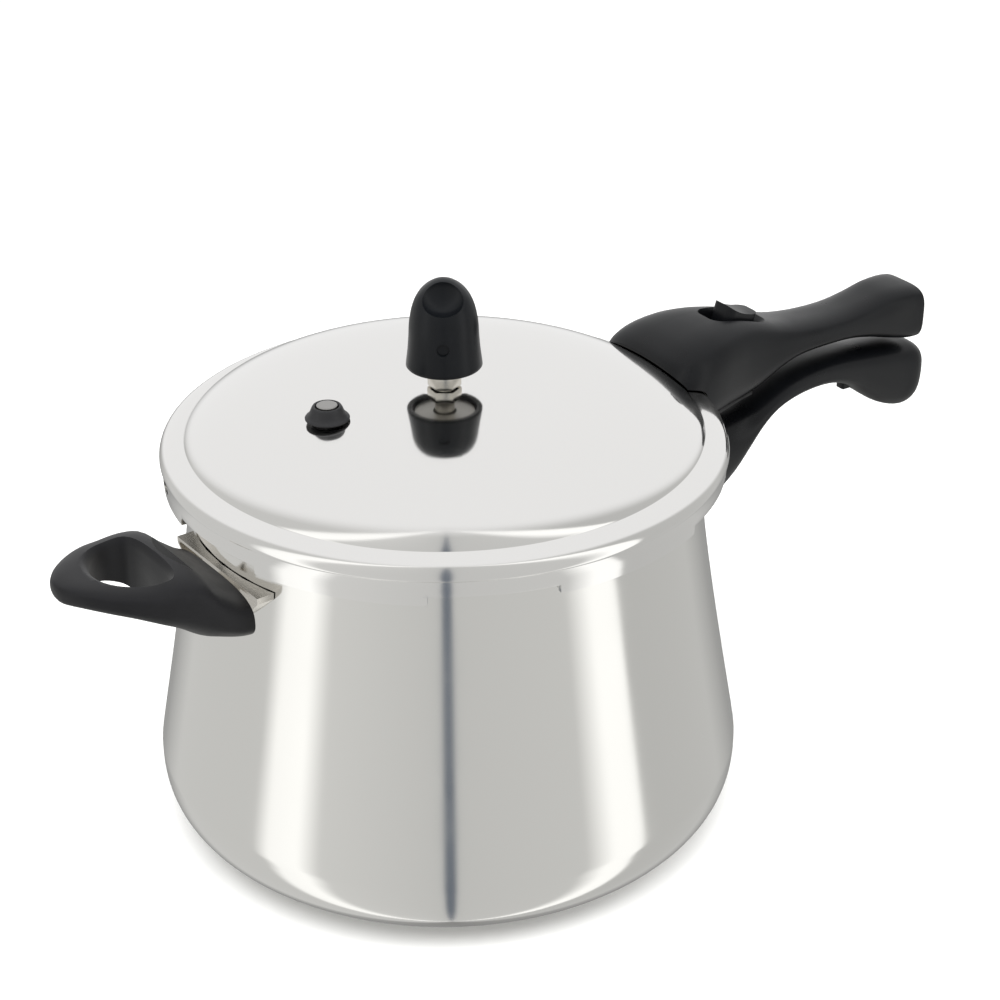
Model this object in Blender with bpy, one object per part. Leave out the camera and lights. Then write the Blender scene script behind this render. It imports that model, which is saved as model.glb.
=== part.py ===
"""Stovetop pressure cooker with an outer lid, a bayonet rim and paired long handles.

Frame: origin at the centre of the pot's flat base, +Z up, +X towards the long handles.
Sizes below are in millimetres and are turned to metres when a mesh is written.
"""
import math

import bmesh
import bpy
from mathutils import Matrix, Vector

MM = 0.001
FIT = 0.4                    # gap between pieces that touch
RING_STEPS = 48              # facets round the pot and the lid

# ---- pot ----
NECK_RADIUS = 103.5
RIM_HEIGHT = 163.2           # top of the pot's rim
BELLY_SWELL = 19.0           # how far the belly stands out beyond the neck
BELLY_RADIUS = NECK_RADIUS + BELLY_SWELL
BELLY_HEIGHT = 33.0
BASE_RADIUS = BELLY_RADIUS - 52.5    # flat part of the base
POT_WALL = 3.2
POT_BASE_WALL = 5.0
RIM_RADIUS = NECK_RADIUS + 0.7
POT_LUG_REACH = 5.9          # how far the bayonet lugs stand out of the neck
POT_LUG_THICK = 3.0
POT_LUG_DROP = 4.6           # from the rim's top down to the underside of the lugs

# ---- bayonet ----
LUG_COUNT = 6
LID_GAP_ANGLE = 25.0
POT_LUG_ANGLE = 22.4
FIRST_LUG_ANGLE = 37.5       # centre of a locked lug, from the handle's direction

# ---- lid ----
LID_RADIUS = NECK_RADIUS + 10.5
LID_WALL = 3.0
SKIRT_WALL = 2.3
SKIRT_TAPER = 1.1            # the skirt's lower edge is this much smaller than the lid
SKIRT_BOTTOM = RIM_HEIGHT - 8.2
STEP_HEIGHT = SKIRT_BOTTOM + 10.3
CREASE_RADIUS = LID_RADIUS - 10.0
CREASE_HEIGHT = SKIRT_BOTTOM + 17.3
DOME_RISE = 17.0
DOME_POWER = 4.5
LID_LUG_INNER = NECK_RADIUS + 1.5
LID_LUG_THICK = 3.0
RELEASE_SLOT_ANGLE = 163.0
RELEASE_SLOT_WIDTH = 13.0
RELEASE_SLOT_HEIGHT = 4.6
GASKET_HEIGHT = 3.7

# ---- vent pipe, weight and safety plug ----
PIPE_NECK_RADIUS = 4.0
PIPE_BORE_RADIUS = 1.6
PIPE_THREAD_RADIUS = 4.6
PIPE_HOLE_RADIUS = PIPE_THREAD_RADIUS + FIT
PIPE_HEX_WIDTH = 11.8        # across the flats
PIPE_HEX_HEIGHT = 5.2
PIPE_ABOVE = 20.0            # from the lid's top to the nozzle
PIPE_BELOW = 14.0
WASHER = 1.0
WEIGHT_RADIUS = 15.2
WEIGHT_WALL = 2.0
WEIGHT_CLEARANCE = 9.2       # from the lid's top up to the weight's lower edge
WEIGHT_WAIST = 12.5          # from the lower edge up to where the grip begins
WEIGHT_HEIGHT = 36.5
WEIGHT_TURN = -33.0          # direction of the finger ridge
PLUG_PLACE = (-53.5, -1.0)
PLUG_RIM_RADIUS = 8.7
PLUG_TOP_RADIUS = 5.6
PLUG_HEIGHT = 5.6
PLUG_STEM_RADIUS = 5.4
PLUG_DISC_RADIUS = 4.1

# ---- long handles, measured outwards from the lid's edge and up from the skirt's edge ----
# (out, half width, underside, top, roundness of the section)
UPPER_STATIONS = [
    (-15.5, 28.0, -5.5, 23.2, 3.2), (-12.0, 29.6, -5.5, 26.9, 3.2), (-6.0, 29.8, -5.4, 30.2, 3.2),
    (1.0, 28.4, -4.8, 32.3, 3.3), (9.0, 26.0, -4.4, 33.6, 3.4), (18.0, 22.8, -4.2, 33.8, 3.4),
    (27.0, 19.8, -3.8, 32.8, 3.4), (36.0, 17.5, -2.4, 30.8, 3.3), (44.0, 16.0, 0.4, 28.2, 3.1),
    (52.0, 15.1, 4.0, 25.4, 2.9), (62.0, 14.5, 7.0, 23.2, 2.7), (76.0, 14.0, 8.0, 21.8, 2.6),
    (91.0, 14.0, 7.8, 21.8, 2.6), (104.0, 14.7, 5.8, 23.4, 2.8), (116.0, 15.6, 2.8, 25.6, 3.2),
    (125.5, 15.8, 0.9, 26.0, 3.6), (130.2, 15.2, 0.5, 25.2, 3.8), (131.6, 14.2, 1.4, 24.0, 3.8)]
LOWER_STATIONS = [
    (-10.0, 25.0, -51.0, -14.4, 2.6), (0.0, 24.0, -51.8, -14.2, 2.6),
    (10.0, 21.0, -50.4, -14.1, 2.6), (20.0, 18.0, -46.8, -13.8, 2.6),
    (28.0, 16.2, -41.0, -13.1, 2.6), (35.0, 15.1, -32.6, -11.8, 2.6),
    (42.0, 14.6, -23.2, -9.3, 2.6), (50.0, 14.2, -16.4, -5.8, 2.6), (60.0, 14.0, -12.7, -2.2, 2.6),
    (72.0, 14.0, -11.0, 0.0, 2.6), (84.0, 14.0, -11.9, 0.7, 2.6), (96.0, 14.2, -16.4, 0.3, 2.6),
    (106.0, 14.7, -23.4, -0.5, 2.7), (116.0, 15.3, -30.2, -1.5, 2.8),
    (126.0, 15.6, -33.4, -2.5, 2.9), (133.0, 14.4, -31.2, -3.4, 3.0), (137.5, 11.0, -24.8, -6.0, 3.0)]
SECTION_POINTS = 20
CAVITY_START = LID_RADIUS - 5.4
CAVITY_END = LID_RADIUS + 35.0       # of the hollow under the upper handle
CAVITY_ROOF = SKIRT_BOTTOM + 11.0
CAVITY_INSET = 4.5
LATCH_ROOF = SKIRT_BOTTOM + 18.7
COVER_Z = (SKIRT_BOTTOM - 2.6, SKIRT_BOTTOM - 1.0)
COVER_START = LID_RADIUS + 4.6

# ---- latch: local X slides towards the pot, local Z stands off the recess floor ----
LATCH_SLOPE = 17.0
LATCH_ORIGIN = (LID_RADIUS + 31.0, 0.0, SKIRT_BOTTOM + 26.0)
LATCH_TRAVEL = 7.0
KNOB_LENGTH = 17.0
KNOB_WIDTH = 13.0
KNOB_HEIGHT = 10.0
RECESS_SLACK = 2.5           # extra room behind the knob
STEM_LENGTH = 6.0
STEM_WIDTH = 5.0
BAR_DEPTH = 14.0             # from the recess floor down to the latch bar
BAR_THICK = 2.0
BAR_WIDTH = 8.0
BAR_FRONT = 10.0
BAR_REAR = 6.0
HOOK_THICK = 2.0
KEEPER_X = (LID_RADIUS + 4.0, LID_RADIUS + 14.0)
KEEPER_FLOOR = SKIRT_BOTTOM - 13.6
KEEPER_TOP = SKIRT_BOTTOM - 5.6
KEEPER_PLATE = 1.5
KEEPER_GAP = BAR_WIDTH + 1.6         # between the keeper's ears
KEEPER_EAR = 2.0
HOOK_BOTTOM = KEEPER_TOP - 4.9

# ---- brackets, rivets and screws ----
BRACKET_THICK = 2.0
BRACKET_HALF_ANGLE = 12.0
LOWER_BRACKET_Z = (SKIRT_BOTTOM - 45.0, SKIRT_BOTTOM - 15.0)
LOWER_RIVETS = [(angle, SKIRT_BOTTOM - drop) for drop in (20.5, 37.5) for angle in (-8.5, 8.5)]
TONGUE_Z = (SKIRT_BOTTOM - 29.2, SKIRT_BOTTOM - 26.2)
TONGUE_END = LID_RADIUS + 31.0
TONGUE_WIDTH = 16.0
RIVET_RADIUS = 2.2
RIVET_HEAD_RADIUS = 4.2
RIVET_HEAD = 1.6
RIVET_CLEAR = 0.9            # from the sloping wall's inside to a rivet head
LID_RIVETS = (-7.0, 7.0)
LID_RIVET_HEIGHT = SKIRT_BOTTOM + 5.9
LID_RIVET_RADIUS = 1.7
LID_RIVET_HEAD_RADIUS = 2.5
LID_BRACKET_INNER = LID_RADIUS - 0.1
LID_BRACKET_HALF_ANGLE = 10.5
ARM_Z = (CAVITY_ROOF - 2.3, CAVITY_ROOF - 0.7)
ARM_Y = (9.5, 14.5)
ARM_END = LID_RADIUS + 27.0
SCREW_RADIUS = 1.9
SCREW_HEAD_RADIUS = 3.7
SCREW_HEAD = 2.2
UPPER_SCREW = (LID_RADIUS + 20.0, 12.0)
LOWER_SCREW_X = LID_RADIUS + 22.0
LOWER_SCREW_SEAT = SKIRT_BOTTOM - 39.0
KEEPER_SCREW_X = LID_RADIUS + 7.5

# ---- helper handle, made along -X and then turned into place ----
HELPER_TURN = 4.0
HELPER_STATIONS = [
    (10.5, 30.0, -33.0, -9.0, 4.0), (4.5, 32.0, -31.5, -5.0, 4.0), (0.5, 33.2, -31.0, -3.0, 4.0),
    (-7.0, 31.4, -29.6, -1.6, 4.0), (-14.0, 29.8, -27.0, -0.2, 4.0), (-22.0, 29.2, -21.0, 1.2, 4.0),
    (-30.0, 27.8, -15.8, 2.4, 4.0), (-38.0, 25.2, -11.0, 3.4, 4.0), (-46.0, 20.4, -7.4, 4.0, 3.6),
    (-53.0, 14.0, -4.8, 4.2, 3.4), (-57.0, 8.4, -3.6, 3.8, 3.2), (-59.5, 4.0, -2.8, 2.8, 3.0)]
HELPER_UNDER = 2.3           # roundness of the sections' lower half
HELPER_CUP_DEPTH = 3.2       # the cup's lip, beyond the pot's wall
HELPER_CUP_WALL = 1.3
HELPER_CUP_FLOOR = 1.5
HELPER_CUP_HALF = 30.0
HELPER_CUP_TOP = SKIRT_BOTTOM - 11.5
HELPER_CUP_SIDE = 2.5        # straight part of the cup's ends
HELPER_CUP_DROP = 22.0
HELPER_TONGUE_Z = (SKIRT_BOTTOM - 20.0, SKIRT_BOTTOM - 17.6)
HELPER_TONGUE_HALF = 6.0
HELPER_TONGUE_END = LID_RADIUS + 8.0
HELPER_RIVET_ANGLE = 7.5
HELPER_RIVET_HEIGHT = SKIRT_BOTTOM - 21.0
HELPER_SCREW_X = -LID_RADIUS - 3.0
HELPER_SCREW_SEAT = SKIRT_BOTTOM - 23.5
HELPER_HOLE = (LID_RADIUS + 43.5, LID_RADIUS + 19.5, 19.0)     # far end, near end, half width
HELPER_RIB = 3.2
HELPER_SLOT_WIDTH = 4.5
HELPER_SLOT_BOW = 5.0

ALUMINIUM = ("polished_aluminium", "C9C9C6", 1.0, 0.12)
PHENOLIC = ("black_phenolic", "1B1B1C", 0.0, 0.32)
STEEL = ("stainless_steel", "B9B7B2", 1.0, 0.28)
RUBBER = ("black_rubber", "242426", 0.0, 0.75)
PLATED = ("plated_brass", "B6B2AA", 1.0, 0.2)
FUSIBLE = ("fusible_metal", "A9A59E", 1.0, 0.4)

ACROSS = Matrix(((0, 0, 1, 0), (1, 0, 0, 0), (0, 1, 0, 0), (0, 0, 0, 1)))    # (y, z) along +X
BACKWARDS = Matrix(((0, 0, -1, 0), (1, 0, 0, 0), (0, 1, 0, 0), (0, 0, 0, 1)))    # (y, z) along -X
SIDEWAYS = Matrix(((1, 0, 0, 0), (0, 0, 1, 0), (0, 1, 0, 0), (0, 0, 0, 1)))    # (x, z) along +Y


# ================================ tools ================================

def material(name, hex_colour, metallic, roughness):
    """A Principled material in an sRGB colour."""
    found = bpy.data.materials.get(name)
    if found:
        return found
    made = bpy.data.materials.new(name)
    made.use_nodes = True
    shader = made.node_tree.nodes["Principled BSDF"]
    channels = [int(hex_colour[i:i + 2], 16) / 255 for i in (0, 2, 4)]
    linear = [c / 12.92 if c <= 0.04045 else ((c + 0.055) / 1.055) ** 2.4 for c in channels]
    shader.inputs["Base Color"].default_value = (*linear, 1)
    shader.inputs["Metallic"].default_value = metallic
    shader.inputs["Roughness"].default_value = roughness
    made.diffuse_color = (*linear, 1)
    return made


def make_object(name, build, finish):
    """Turn a bmesh in millimetres into a named object in metres; no finish makes a cutter."""
    bmesh.ops.remove_doubles(build, verts=build.verts, dist=1e-4)
    bmesh.ops.recalc_face_normals(build, faces=build.faces)
    bmesh.ops.scale(build, vec=(MM, MM, MM), verts=build.verts)
    mesh = bpy.data.meshes.new(name)
    build.to_mesh(mesh)
    build.free()
    item = bpy.data.objects.new(name, mesh)
    bpy.context.scene.collection.objects.link(item)
    if finish:
        mesh.materials.append(material(*finish))
        mesh.shade_smooth()
        mesh.set_sharp_from_angle(angle=math.radians(35))
    else:
        item.hide_render = True
        item.display_type = 'WIRE'
    return item


def boolean(item, cutter, operation='DIFFERENCE'):
    """Cut a piece with a cutter, or join a guide shape to it."""
    step = item.modifiers.new(operation.title() + "_" + cutter.name, 'BOOLEAN')
    step.operation = operation
    step.solver = 'EXACT'
    step.object = cutter


def turned(name, profile, finish=None, start=0.0, sweep=360.0, steps=RING_STEPS):
    """Turn a closed (radius, height) outline about Z; a part turn gets flat ends."""
    build = bmesh.new()
    a = math.radians(start)
    ring = [build.verts.new((r * math.cos(a), r * math.sin(a), z)) for r, z in profile]
    face = build.faces.new(ring)
    if abs(sweep - 360.0) < 1e-6:
        edges = list(face.edges)
        build.faces.remove(face)
        bmesh.ops.spin(build, geom=ring + edges, cent=(0, 0, 0), axis=(0, 0, 1),
                       angle=2 * math.pi, steps=steps, use_merge=True)
    else:
        bmesh.ops.spin(build, geom=[face], cent=(0, 0, 0), axis=(0, 0, 1),
                       angle=math.radians(sweep), steps=steps)
    return make_object(name, build, finish)


def turned_solid(name, profile, finish=None, steps=24, centre=(0, 0), frame=None):
    """Turn an open outline that starts and ends on the axis, then place it."""
    build = bmesh.new()
    ring = [build.verts.new((r, 0, z)) for r, z in profile]
    edges = [build.edges.new(pair) for pair in zip(ring, ring[1:])]
    bmesh.ops.spin(build, geom=ring + edges, cent=(0, 0, 0), axis=(0, 0, 1),
                   angle=2 * math.pi, steps=steps, use_merge=True)
    bmesh.ops.remove_doubles(build, verts=build.verts, dist=1e-4)
    if frame:
        bmesh.ops.transform(build, matrix=frame, verts=build.verts)
    bmesh.ops.translate(build, vec=(*centre, 0), verts=build.verts)
    return make_object(name, build, finish)


def cylinder(name, radius, z_range, finish=None, centre=(0, 0), steps=24, frame=None):
    """An upright cylinder or, with few steps, a prism."""
    low, high = z_range
    return turned_solid(name, [(0, low), (radius, low), (radius, high), (0, high)],
                        finish, steps, centre, frame)


def block(name, x_range, y_range, z_range, finish=None, frame=None):
    """A box between two corners, optionally placed by a frame matrix."""
    build = bmesh.new()
    bmesh.ops.create_cube(build, size=1)
    ranges = (x_range, y_range, z_range)
    bmesh.ops.scale(build, vec=[high - low for low, high in ranges], verts=build.verts)
    bmesh.ops.translate(build, vec=[(high + low) / 2 for low, high in ranges], verts=build.verts)
    if frame:
        bmesh.ops.transform(build, matrix=frame, verts=build.verts)
    return make_object(name, build, finish)


def prism(name, outline, z_range, finish=None, frame=None):
    """A flat outline in (x, y), extruded from one height to another."""
    build = bmesh.new()
    face = build.faces.new([build.verts.new((x, y, z_range[0])) for x, y in outline])
    moved = bmesh.ops.extrude_face_region(build, geom=[face])["geom"]
    lifted = [v for v in moved if isinstance(v, bmesh.types.BMVert)]
    bmesh.ops.translate(build, vec=(0, 0, z_range[1] - z_range[0]), verts=lifted)
    if frame:
        bmesh.ops.transform(build, matrix=frame, verts=build.verts)
    return make_object(name, build, finish)


def radial_frame(angle, height):
    """Local +Z points outwards at an angle round the pot, local +Y points up."""
    a = math.radians(angle)
    out = Vector((math.cos(a), math.sin(a), 0))
    up = Vector((0, 0, 1))
    frame = Matrix((up.cross(out), up, out)).transposed().to_4x4()
    frame.translation = Vector((0, 0, height))
    return frame


def radial_pin(name, radius, reach, angle, height):
    """A plain round cutter along the pot's radius."""
    return cylinder(name, radius, reach, steps=14, frame=radial_frame(angle, height))


def rivet(name, radius, reach, head, angle, height):
    """A round pin along the pot's radius; its head (radius, base, top) caps one end."""
    head_radius, base, top = head
    outline = [(head_radius * 0.7, top), (head_radius, base + (top - base) * 0.7),
               (head_radius, base), (radius, base)]
    if top > base:
        outline = [(0, reach[0]), (radius, reach[0])] + outline[::-1] + [(0, top)]
    else:
        outline = [(0, top)] + outline + [(radius, reach[1]), (0, reach[1])]
    return turned_solid(name, outline, STEEL, 14, frame=radial_frame(angle, height))


def screw(name, place, seat, length, upwards=True):
    """A flat-topped screw: its head lies on one side of the seat, its shank on the other."""
    way = 1 if upwards else -1
    profile = [(0, seat - way * SCREW_HEAD), (SCREW_HEAD_RADIUS, seat - way * SCREW_HEAD),
               (SCREW_HEAD_RADIUS, seat), (SCREW_RADIUS, seat),
               (SCREW_RADIUS, seat + way * (length - 1)),
               (SCREW_RADIUS - 0.8, seat + way * length), (0, seat + way * length)]
    return turned_solid(name, profile, STEEL, 14, place)


def handle_ring(x, half_width, low, high, above, below):
    """A rounded-oblong section of a handle in a plane across X, rounder or squarer below."""
    ring = []
    for k in range(SECTION_POINTS):
        a = 2 * math.pi * k / SECTION_POINTS
        c, s = math.cos(a), math.sin(a)
        power = 2 / (above if s >= 0 else below)
        y = half_width * math.copysign(abs(c) ** power, c)
        z = (high - low) / 2 * math.copysign(abs(s) ** power, s)
        ring.append((x, y, (low + high) / 2 + z))
    return ring


def lofted(name, stations, out, finish, under=None):
    """A closed body through handle sections measured from a place on X and the skirt's edge."""
    build = bmesh.new()
    rings = []
    for x, half, low, high, roundness in stations:
        points = handle_ring(out + x, half, SKIRT_BOTTOM + low, SKIRT_BOTTOM + high,
                             roundness, under or roundness)
        rings.append([build.verts.new(p) for p in points])
    for near, far in zip(rings, rings[1:]):
        for k in range(SECTION_POINTS):
            n = (k + 1) % SECTION_POINTS
            build.faces.new((near[k], near[n], far[n], far[k]))
    build.faces.new(rings[0])
    build.faces.new(rings[-1])
    return make_object(name, build, finish)


def bezier(p0, p1, p2, p3, count):
    """Points along a cubic curve, both ends included."""
    points = []
    for k in range(count + 1):
        t = k / count
        weights = ((1 - t) ** 3, 3 * t * (1 - t) ** 2, 3 * t * t * (1 - t), t ** 3)
        points.append(tuple(sum(w * p[i] for w, p in zip(weights, (p0, p1, p2, p3)))
                            for i in (0, 1)))
    return points


def rounded_plan(length, width, corner, shift=0.0):
    """A rounded oblong in (x, y)."""
    points = []
    for cx, cy, start in ((1, 1, 0), (-1, 1, 90), (-1, -1, 180), (1, -1, 270)):
        for k in range(4):
            a = math.radians(start + 30 * k)
            points.append((shift + cx * (length / 2 - corner) + corner * math.cos(a),
                           cy * (width / 2 - corner) + corner * math.sin(a)))
    return points


# ============================ shared outlines ============================

def pot_outside(offset=0.0):
    """The pot's outer outline from the base's edge up to the neck, grown by an offset."""
    belly, top = BELLY_RADIUS, RIM_HEIGHT - POT_LUG_DROP - 0.4
    lower = bezier((BASE_RADIUS, 0), (BASE_RADIUS + 1.05 * (belly - BASE_RADIUS), 0),
                   (belly, 0.7 * BELLY_HEIGHT), (belly, BELLY_HEIGHT), 6)
    rise = top - BELLY_HEIGHT
    upper = bezier((belly, BELLY_HEIGHT), (belly, BELLY_HEIGHT + 0.03 * rise),
                   (NECK_RADIUS - 1.0, BELLY_HEIGHT + 0.8 * rise), (NECK_RADIUS, top), 6)
    line = lower + upper[1:]
    grown = []
    for k, (r, z) in enumerate(line):
        before, after = line[max(k - 1, 0)], line[min(k + 1, len(line) - 1)]
        dr, dz = after[0] - before[0], after[1] - before[1]
        size = math.hypot(dr, dz)
        grown.append((r + offset * dz / size, z - offset * dr / size))
    return grown


def pot_radius(height):
    """Outer radius of the pot's wall at a height."""
    line = pot_outside()
    for (r0, z0), (r1, z1) in zip(line, line[1:]):
        if z0 <= height <= z1:
            return r0 + (r1 - r0) * (height - z0) / (z1 - z0)
    return NECK_RADIUS


def wall_solid(name, offset):
    """A cutter as large as the pot's upper wall grown by an offset."""
    stops = [SKIRT_BOTTOM + dz for dz in (-64, -52, -40, -28, -16, -4)]
    line = [(pot_radius(z) + offset, z) for z in stops]
    return turned_solid(name, [(0, stops[0])] + line + [(0, stops[-1])], None, RING_STEPS)


def dome_height(radius):
    """Outer height of the lid's dome at a radius."""
    return CREASE_HEIGHT + DOME_RISE * (1 - (radius / CREASE_RADIUS) ** DOME_POWER)


LID_TOP = dome_height(0)
DOME_STOPS = (0.35, 0.55, 0.7, 0.8, 0.87, 0.92, 0.96)


def lid_outside(start):
    """The lid's outer outline from a radius near the centre down to the skirt's edge."""
    drop = CREASE_HEIGHT - STEP_HEIGHT
    line = [(start, dome_height(start))]
    line += [(CREASE_RADIUS * k, dome_height(CREASE_RADIUS * k)) for k in DOME_STOPS + (1,)]
    line += [(LID_RADIUS - 4.0, STEP_HEIGHT + 0.74 * drop),
             (LID_RADIUS - 1.6, STEP_HEIGHT + 0.55 * drop),
             (LID_RADIUS - 0.4, STEP_HEIGHT + 0.28 * drop), (LID_RADIUS, STEP_HEIGHT + 0.3),
             (LID_RADIUS - 0.6, STEP_HEIGHT), (LID_RADIUS - SKIRT_TAPER, SKIRT_BOTTOM)]
    return line


def bayonet_gaps():
    """Angles of the gaps between the lugs with the lid locked on."""
    return [FIRST_LUG_ANGLE + (k + 0.5) * 360 / LUG_COUNT for k in range(LUG_COUNT)]


def sector(name, radii, heights, centre, angle):
    """A cutter over a piece of a ring."""
    (inner, outer), (low, high) = radii, heights
    return turned(name, [(inner, low), (outer, low), (outer, high), (inner, high)], None,
                  centre - angle / 2, angle, 4)


# ================================ the pot ================================

def pot_body():
    lug_low = RIM_HEIGHT - POT_LUG_DROP
    lug_high = lug_low + POT_LUG_THICK
    lug_radius = NECK_RADIUS + POT_LUG_REACH
    inner_neck = NECK_RADIUS - POT_WALL
    inside = [(r, z) for r, z in pot_outside(-POT_WALL) if POT_BASE_WALL + 4 < z < lug_low - 6]
    profile = [(0, 0)] + pot_outside() + [
        (lug_radius, lug_low), (lug_radius, lug_high), (RIM_RADIUS, lug_high + 0.4),
        (RIM_RADIUS, RIM_HEIGHT), (inner_neck, RIM_HEIGHT), (inner_neck, lug_low)]
    profile += inside[::-1] + [(inside[0][0] - 10, POT_BASE_WALL + 0.6),
                               (BASE_RADIUS, POT_BASE_WALL), (0, POT_BASE_WALL)]
    body = turned_solid("pot_body", profile, ALUMINIUM, RING_STEPS)
    for k, angle in enumerate(bayonet_gaps()):
        boolean(body, sector(f"pot_gap_{k}", (RIM_RADIUS, lug_radius + 4),
                             (lug_low - 3, lug_high + 1.5), angle, 360 / LUG_COUNT - POT_LUG_ANGLE))
    helper_rivets = [(180 + HELPER_TURN + side * HELPER_RIVET_ANGLE, HELPER_RIVET_HEIGHT)
                     for side in (-1, 1)]
    for k, (angle, height) in enumerate(LOWER_RIVETS + helper_rivets):
        radius = pot_radius(height)
        boolean(body, radial_pin(f"pot_rivet_hole_{k}", RIVET_RADIUS + FIT,
                                 (radius - POT_WALL - 8, radius + 8), angle, height))


def wall_rivet(name, angle, height, plate):
    """A rivet from inside the pot into a plate of the given thickness on the wall."""
    radius = pot_radius(height)
    inner = radius - POT_WALL - RIVET_CLEAR
    rivet(name, RIVET_RADIUS, (inner, radius + FIT + plate - 0.1),
          (RIVET_HEAD_RADIUS, inner, inner - RIVET_HEAD), angle, height)


def lower_handle_bracket():
    low, high = LOWER_BRACKET_Z
    stops = [low + (high - low) * k / 4 for k in range(5)]
    outline = [(pot_radius(z) + FIT, z) for z in stops]
    outline += [(pot_radius(z) + FIT + BRACKET_THICK, z) for z in reversed(stops)]
    plate = turned("lower_handle_bracket", outline, STEEL, -BRACKET_HALF_ANGLE,
                   2 * BRACKET_HALF_ANGLE, 6)
    boolean(plate, block("lower_tongue_guide", (pot_radius(TONGUE_Z[0]) + FIT + 0.5, TONGUE_END),
                         (-TONGUE_WIDTH / 2, TONGUE_WIDTH / 2), TONGUE_Z), 'UNION')
    boolean(plate, cylinder("lower_tongue_hole", SCREW_RADIUS + FIT,
                            (TONGUE_Z[0] - 3, TONGUE_Z[1] + 3), centre=(LOWER_SCREW_X, 0), steps=14))
    for k, (angle, height) in enumerate(LOWER_RIVETS):
        radius = pot_radius(height)
        boolean(plate, radial_pin(f"plate_rivet_hole_{k}", RIVET_RADIUS + FIT,
                                  (radius - 4, radius + 8), angle, height))
        wall_rivet(f"lower_bracket_rivet_{k + 1}", angle, height, BRACKET_THICK)


def lower_handle():
    grip = lofted("lower_handle", LOWER_STATIONS, LID_RADIUS, PHENOLIC)
    boolean(grip, block("lower_handle_lug", (LID_RADIUS + 97.5, LID_RADIUS + 102.5), (-2.5, 2.5),
                        (SKIRT_BOTTOM - 21.0, SKIRT_BOTTOM - 13)), 'UNION')
    boolean(grip, wall_solid("lower_handle_wall", 2 * FIT + BRACKET_THICK))
    boolean(grip, block("lower_handle_slot", (LID_RADIUS - 20, TONGUE_END + FIT),
                        (-TONGUE_WIDTH / 2 - FIT, TONGUE_WIDTH / 2 + FIT),
                        (TONGUE_Z[0] - FIT, TONGUE_Z[1] + FIT)))
    for name, radius, z_range, x in (
            ("lower_screw_seat", SCREW_HEAD_RADIUS + FIT,
             (SKIRT_BOTTOM - 65, LOWER_SCREW_SEAT), LOWER_SCREW_X),
            ("lower_screw_hole", SCREW_RADIUS + FIT,
             (SKIRT_BOTTOM - 65, TONGUE_Z[1] + 6.5), LOWER_SCREW_X),
            ("keeper_screw_hole", SCREW_RADIUS + FIT,
             (KEEPER_FLOOR - 8.9, SKIRT_BOTTOM), KEEPER_SCREW_X)):
        boolean(grip, cylinder(name, radius, z_range, centre=(x, 0), steps=16))
    screw("lower_handle_screw", (LOWER_SCREW_X, 0), LOWER_SCREW_SEAT - 0.3, 17.5)


def latch_keeper():
    ear = KEEPER_GAP / 2
    half, floor = ear + KEEPER_EAR, KEEPER_FLOOR + KEEPER_PLATE
    outline = [(-half, KEEPER_FLOOR), (half, KEEPER_FLOOR), (half, KEEPER_TOP), (ear, KEEPER_TOP),
               (ear, floor), (-ear, floor), (-ear, KEEPER_TOP), (-half, KEEPER_TOP)]
    keeper = prism("latch_keeper", outline, KEEPER_X, STEEL, ACROSS)
    boolean(keeper, cylinder("keeper_hole", SCREW_RADIUS + FIT, (KEEPER_FLOOR - 3, floor + 4),
                             centre=(KEEPER_SCREW_X, 0), steps=14))
    screw("latch_keeper_screw", (KEEPER_SCREW_X, 0), floor + 0.3, 8.5, upwards=False)


# ============================ the helper handle ============================

def cup_outline(shrink=0.0):
    """The cup's outline in (across, height): flat top, short ends, round bottom."""
    half, top = HELPER_CUP_HALF - shrink, HELPER_CUP_TOP - shrink
    shoulder, drop = HELPER_CUP_TOP - HELPER_CUP_SIDE, HELPER_CUP_DROP - shrink
    points = [(half, top), (-half, top)]
    for k in range(13):
        across = -math.cos(math.pi * k / 12)
        points.append((half * across, shoulder - drop * (1 - abs(across) ** 1.4)))
    return points


def helper_bracket():
    lip = pot_radius(HELPER_CUP_TOP) + HELPER_CUP_DEPTH
    cup = prism("helper_bracket", cup_outline(), (LID_RADIUS - 30, lip), STEEL, BACKWARDS)
    hollow = prism("helper_cup_hollow", cup_outline(HELPER_CUP_WALL), (LID_RADIUS - 40, lip + 5),
                   None, BACKWARDS)
    boolean(hollow, wall_solid("helper_cup_floor", FIT + HELPER_CUP_FLOOR))
    boolean(cup, hollow)
    boolean(cup, wall_solid("helper_cup_wall", FIT))
    start = pot_radius(HELPER_TONGUE_Z[1]) + FIT + 0.7
    boolean(cup, block("helper_tongue_guide", (-HELPER_TONGUE_END, -start),
                       (-HELPER_TONGUE_HALF, HELPER_TONGUE_HALF), HELPER_TONGUE_Z), 'UNION')
    boolean(cup, cylinder("helper_tongue_hole", SCREW_RADIUS + FIT,
                          (HELPER_TONGUE_Z[0] - 2, HELPER_TONGUE_Z[1] + 2),
                          centre=(HELPER_SCREW_X, 0), steps=14))
    radius = pot_radius(HELPER_RIVET_HEIGHT)
    for k, side in enumerate((-1, 1)):
        angle = 180 + side * HELPER_RIVET_ANGLE
        boolean(cup, radial_pin(f"helper_rivet_hole_{k}", RIVET_RADIUS + FIT,
                                (radius - 4, radius + 6), angle, HELPER_RIVET_HEIGHT))
        wall_rivet(f"helper_bracket_rivet_{k + 1}", angle, HELPER_RIVET_HEIGHT, HELPER_CUP_FLOOR)


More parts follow.
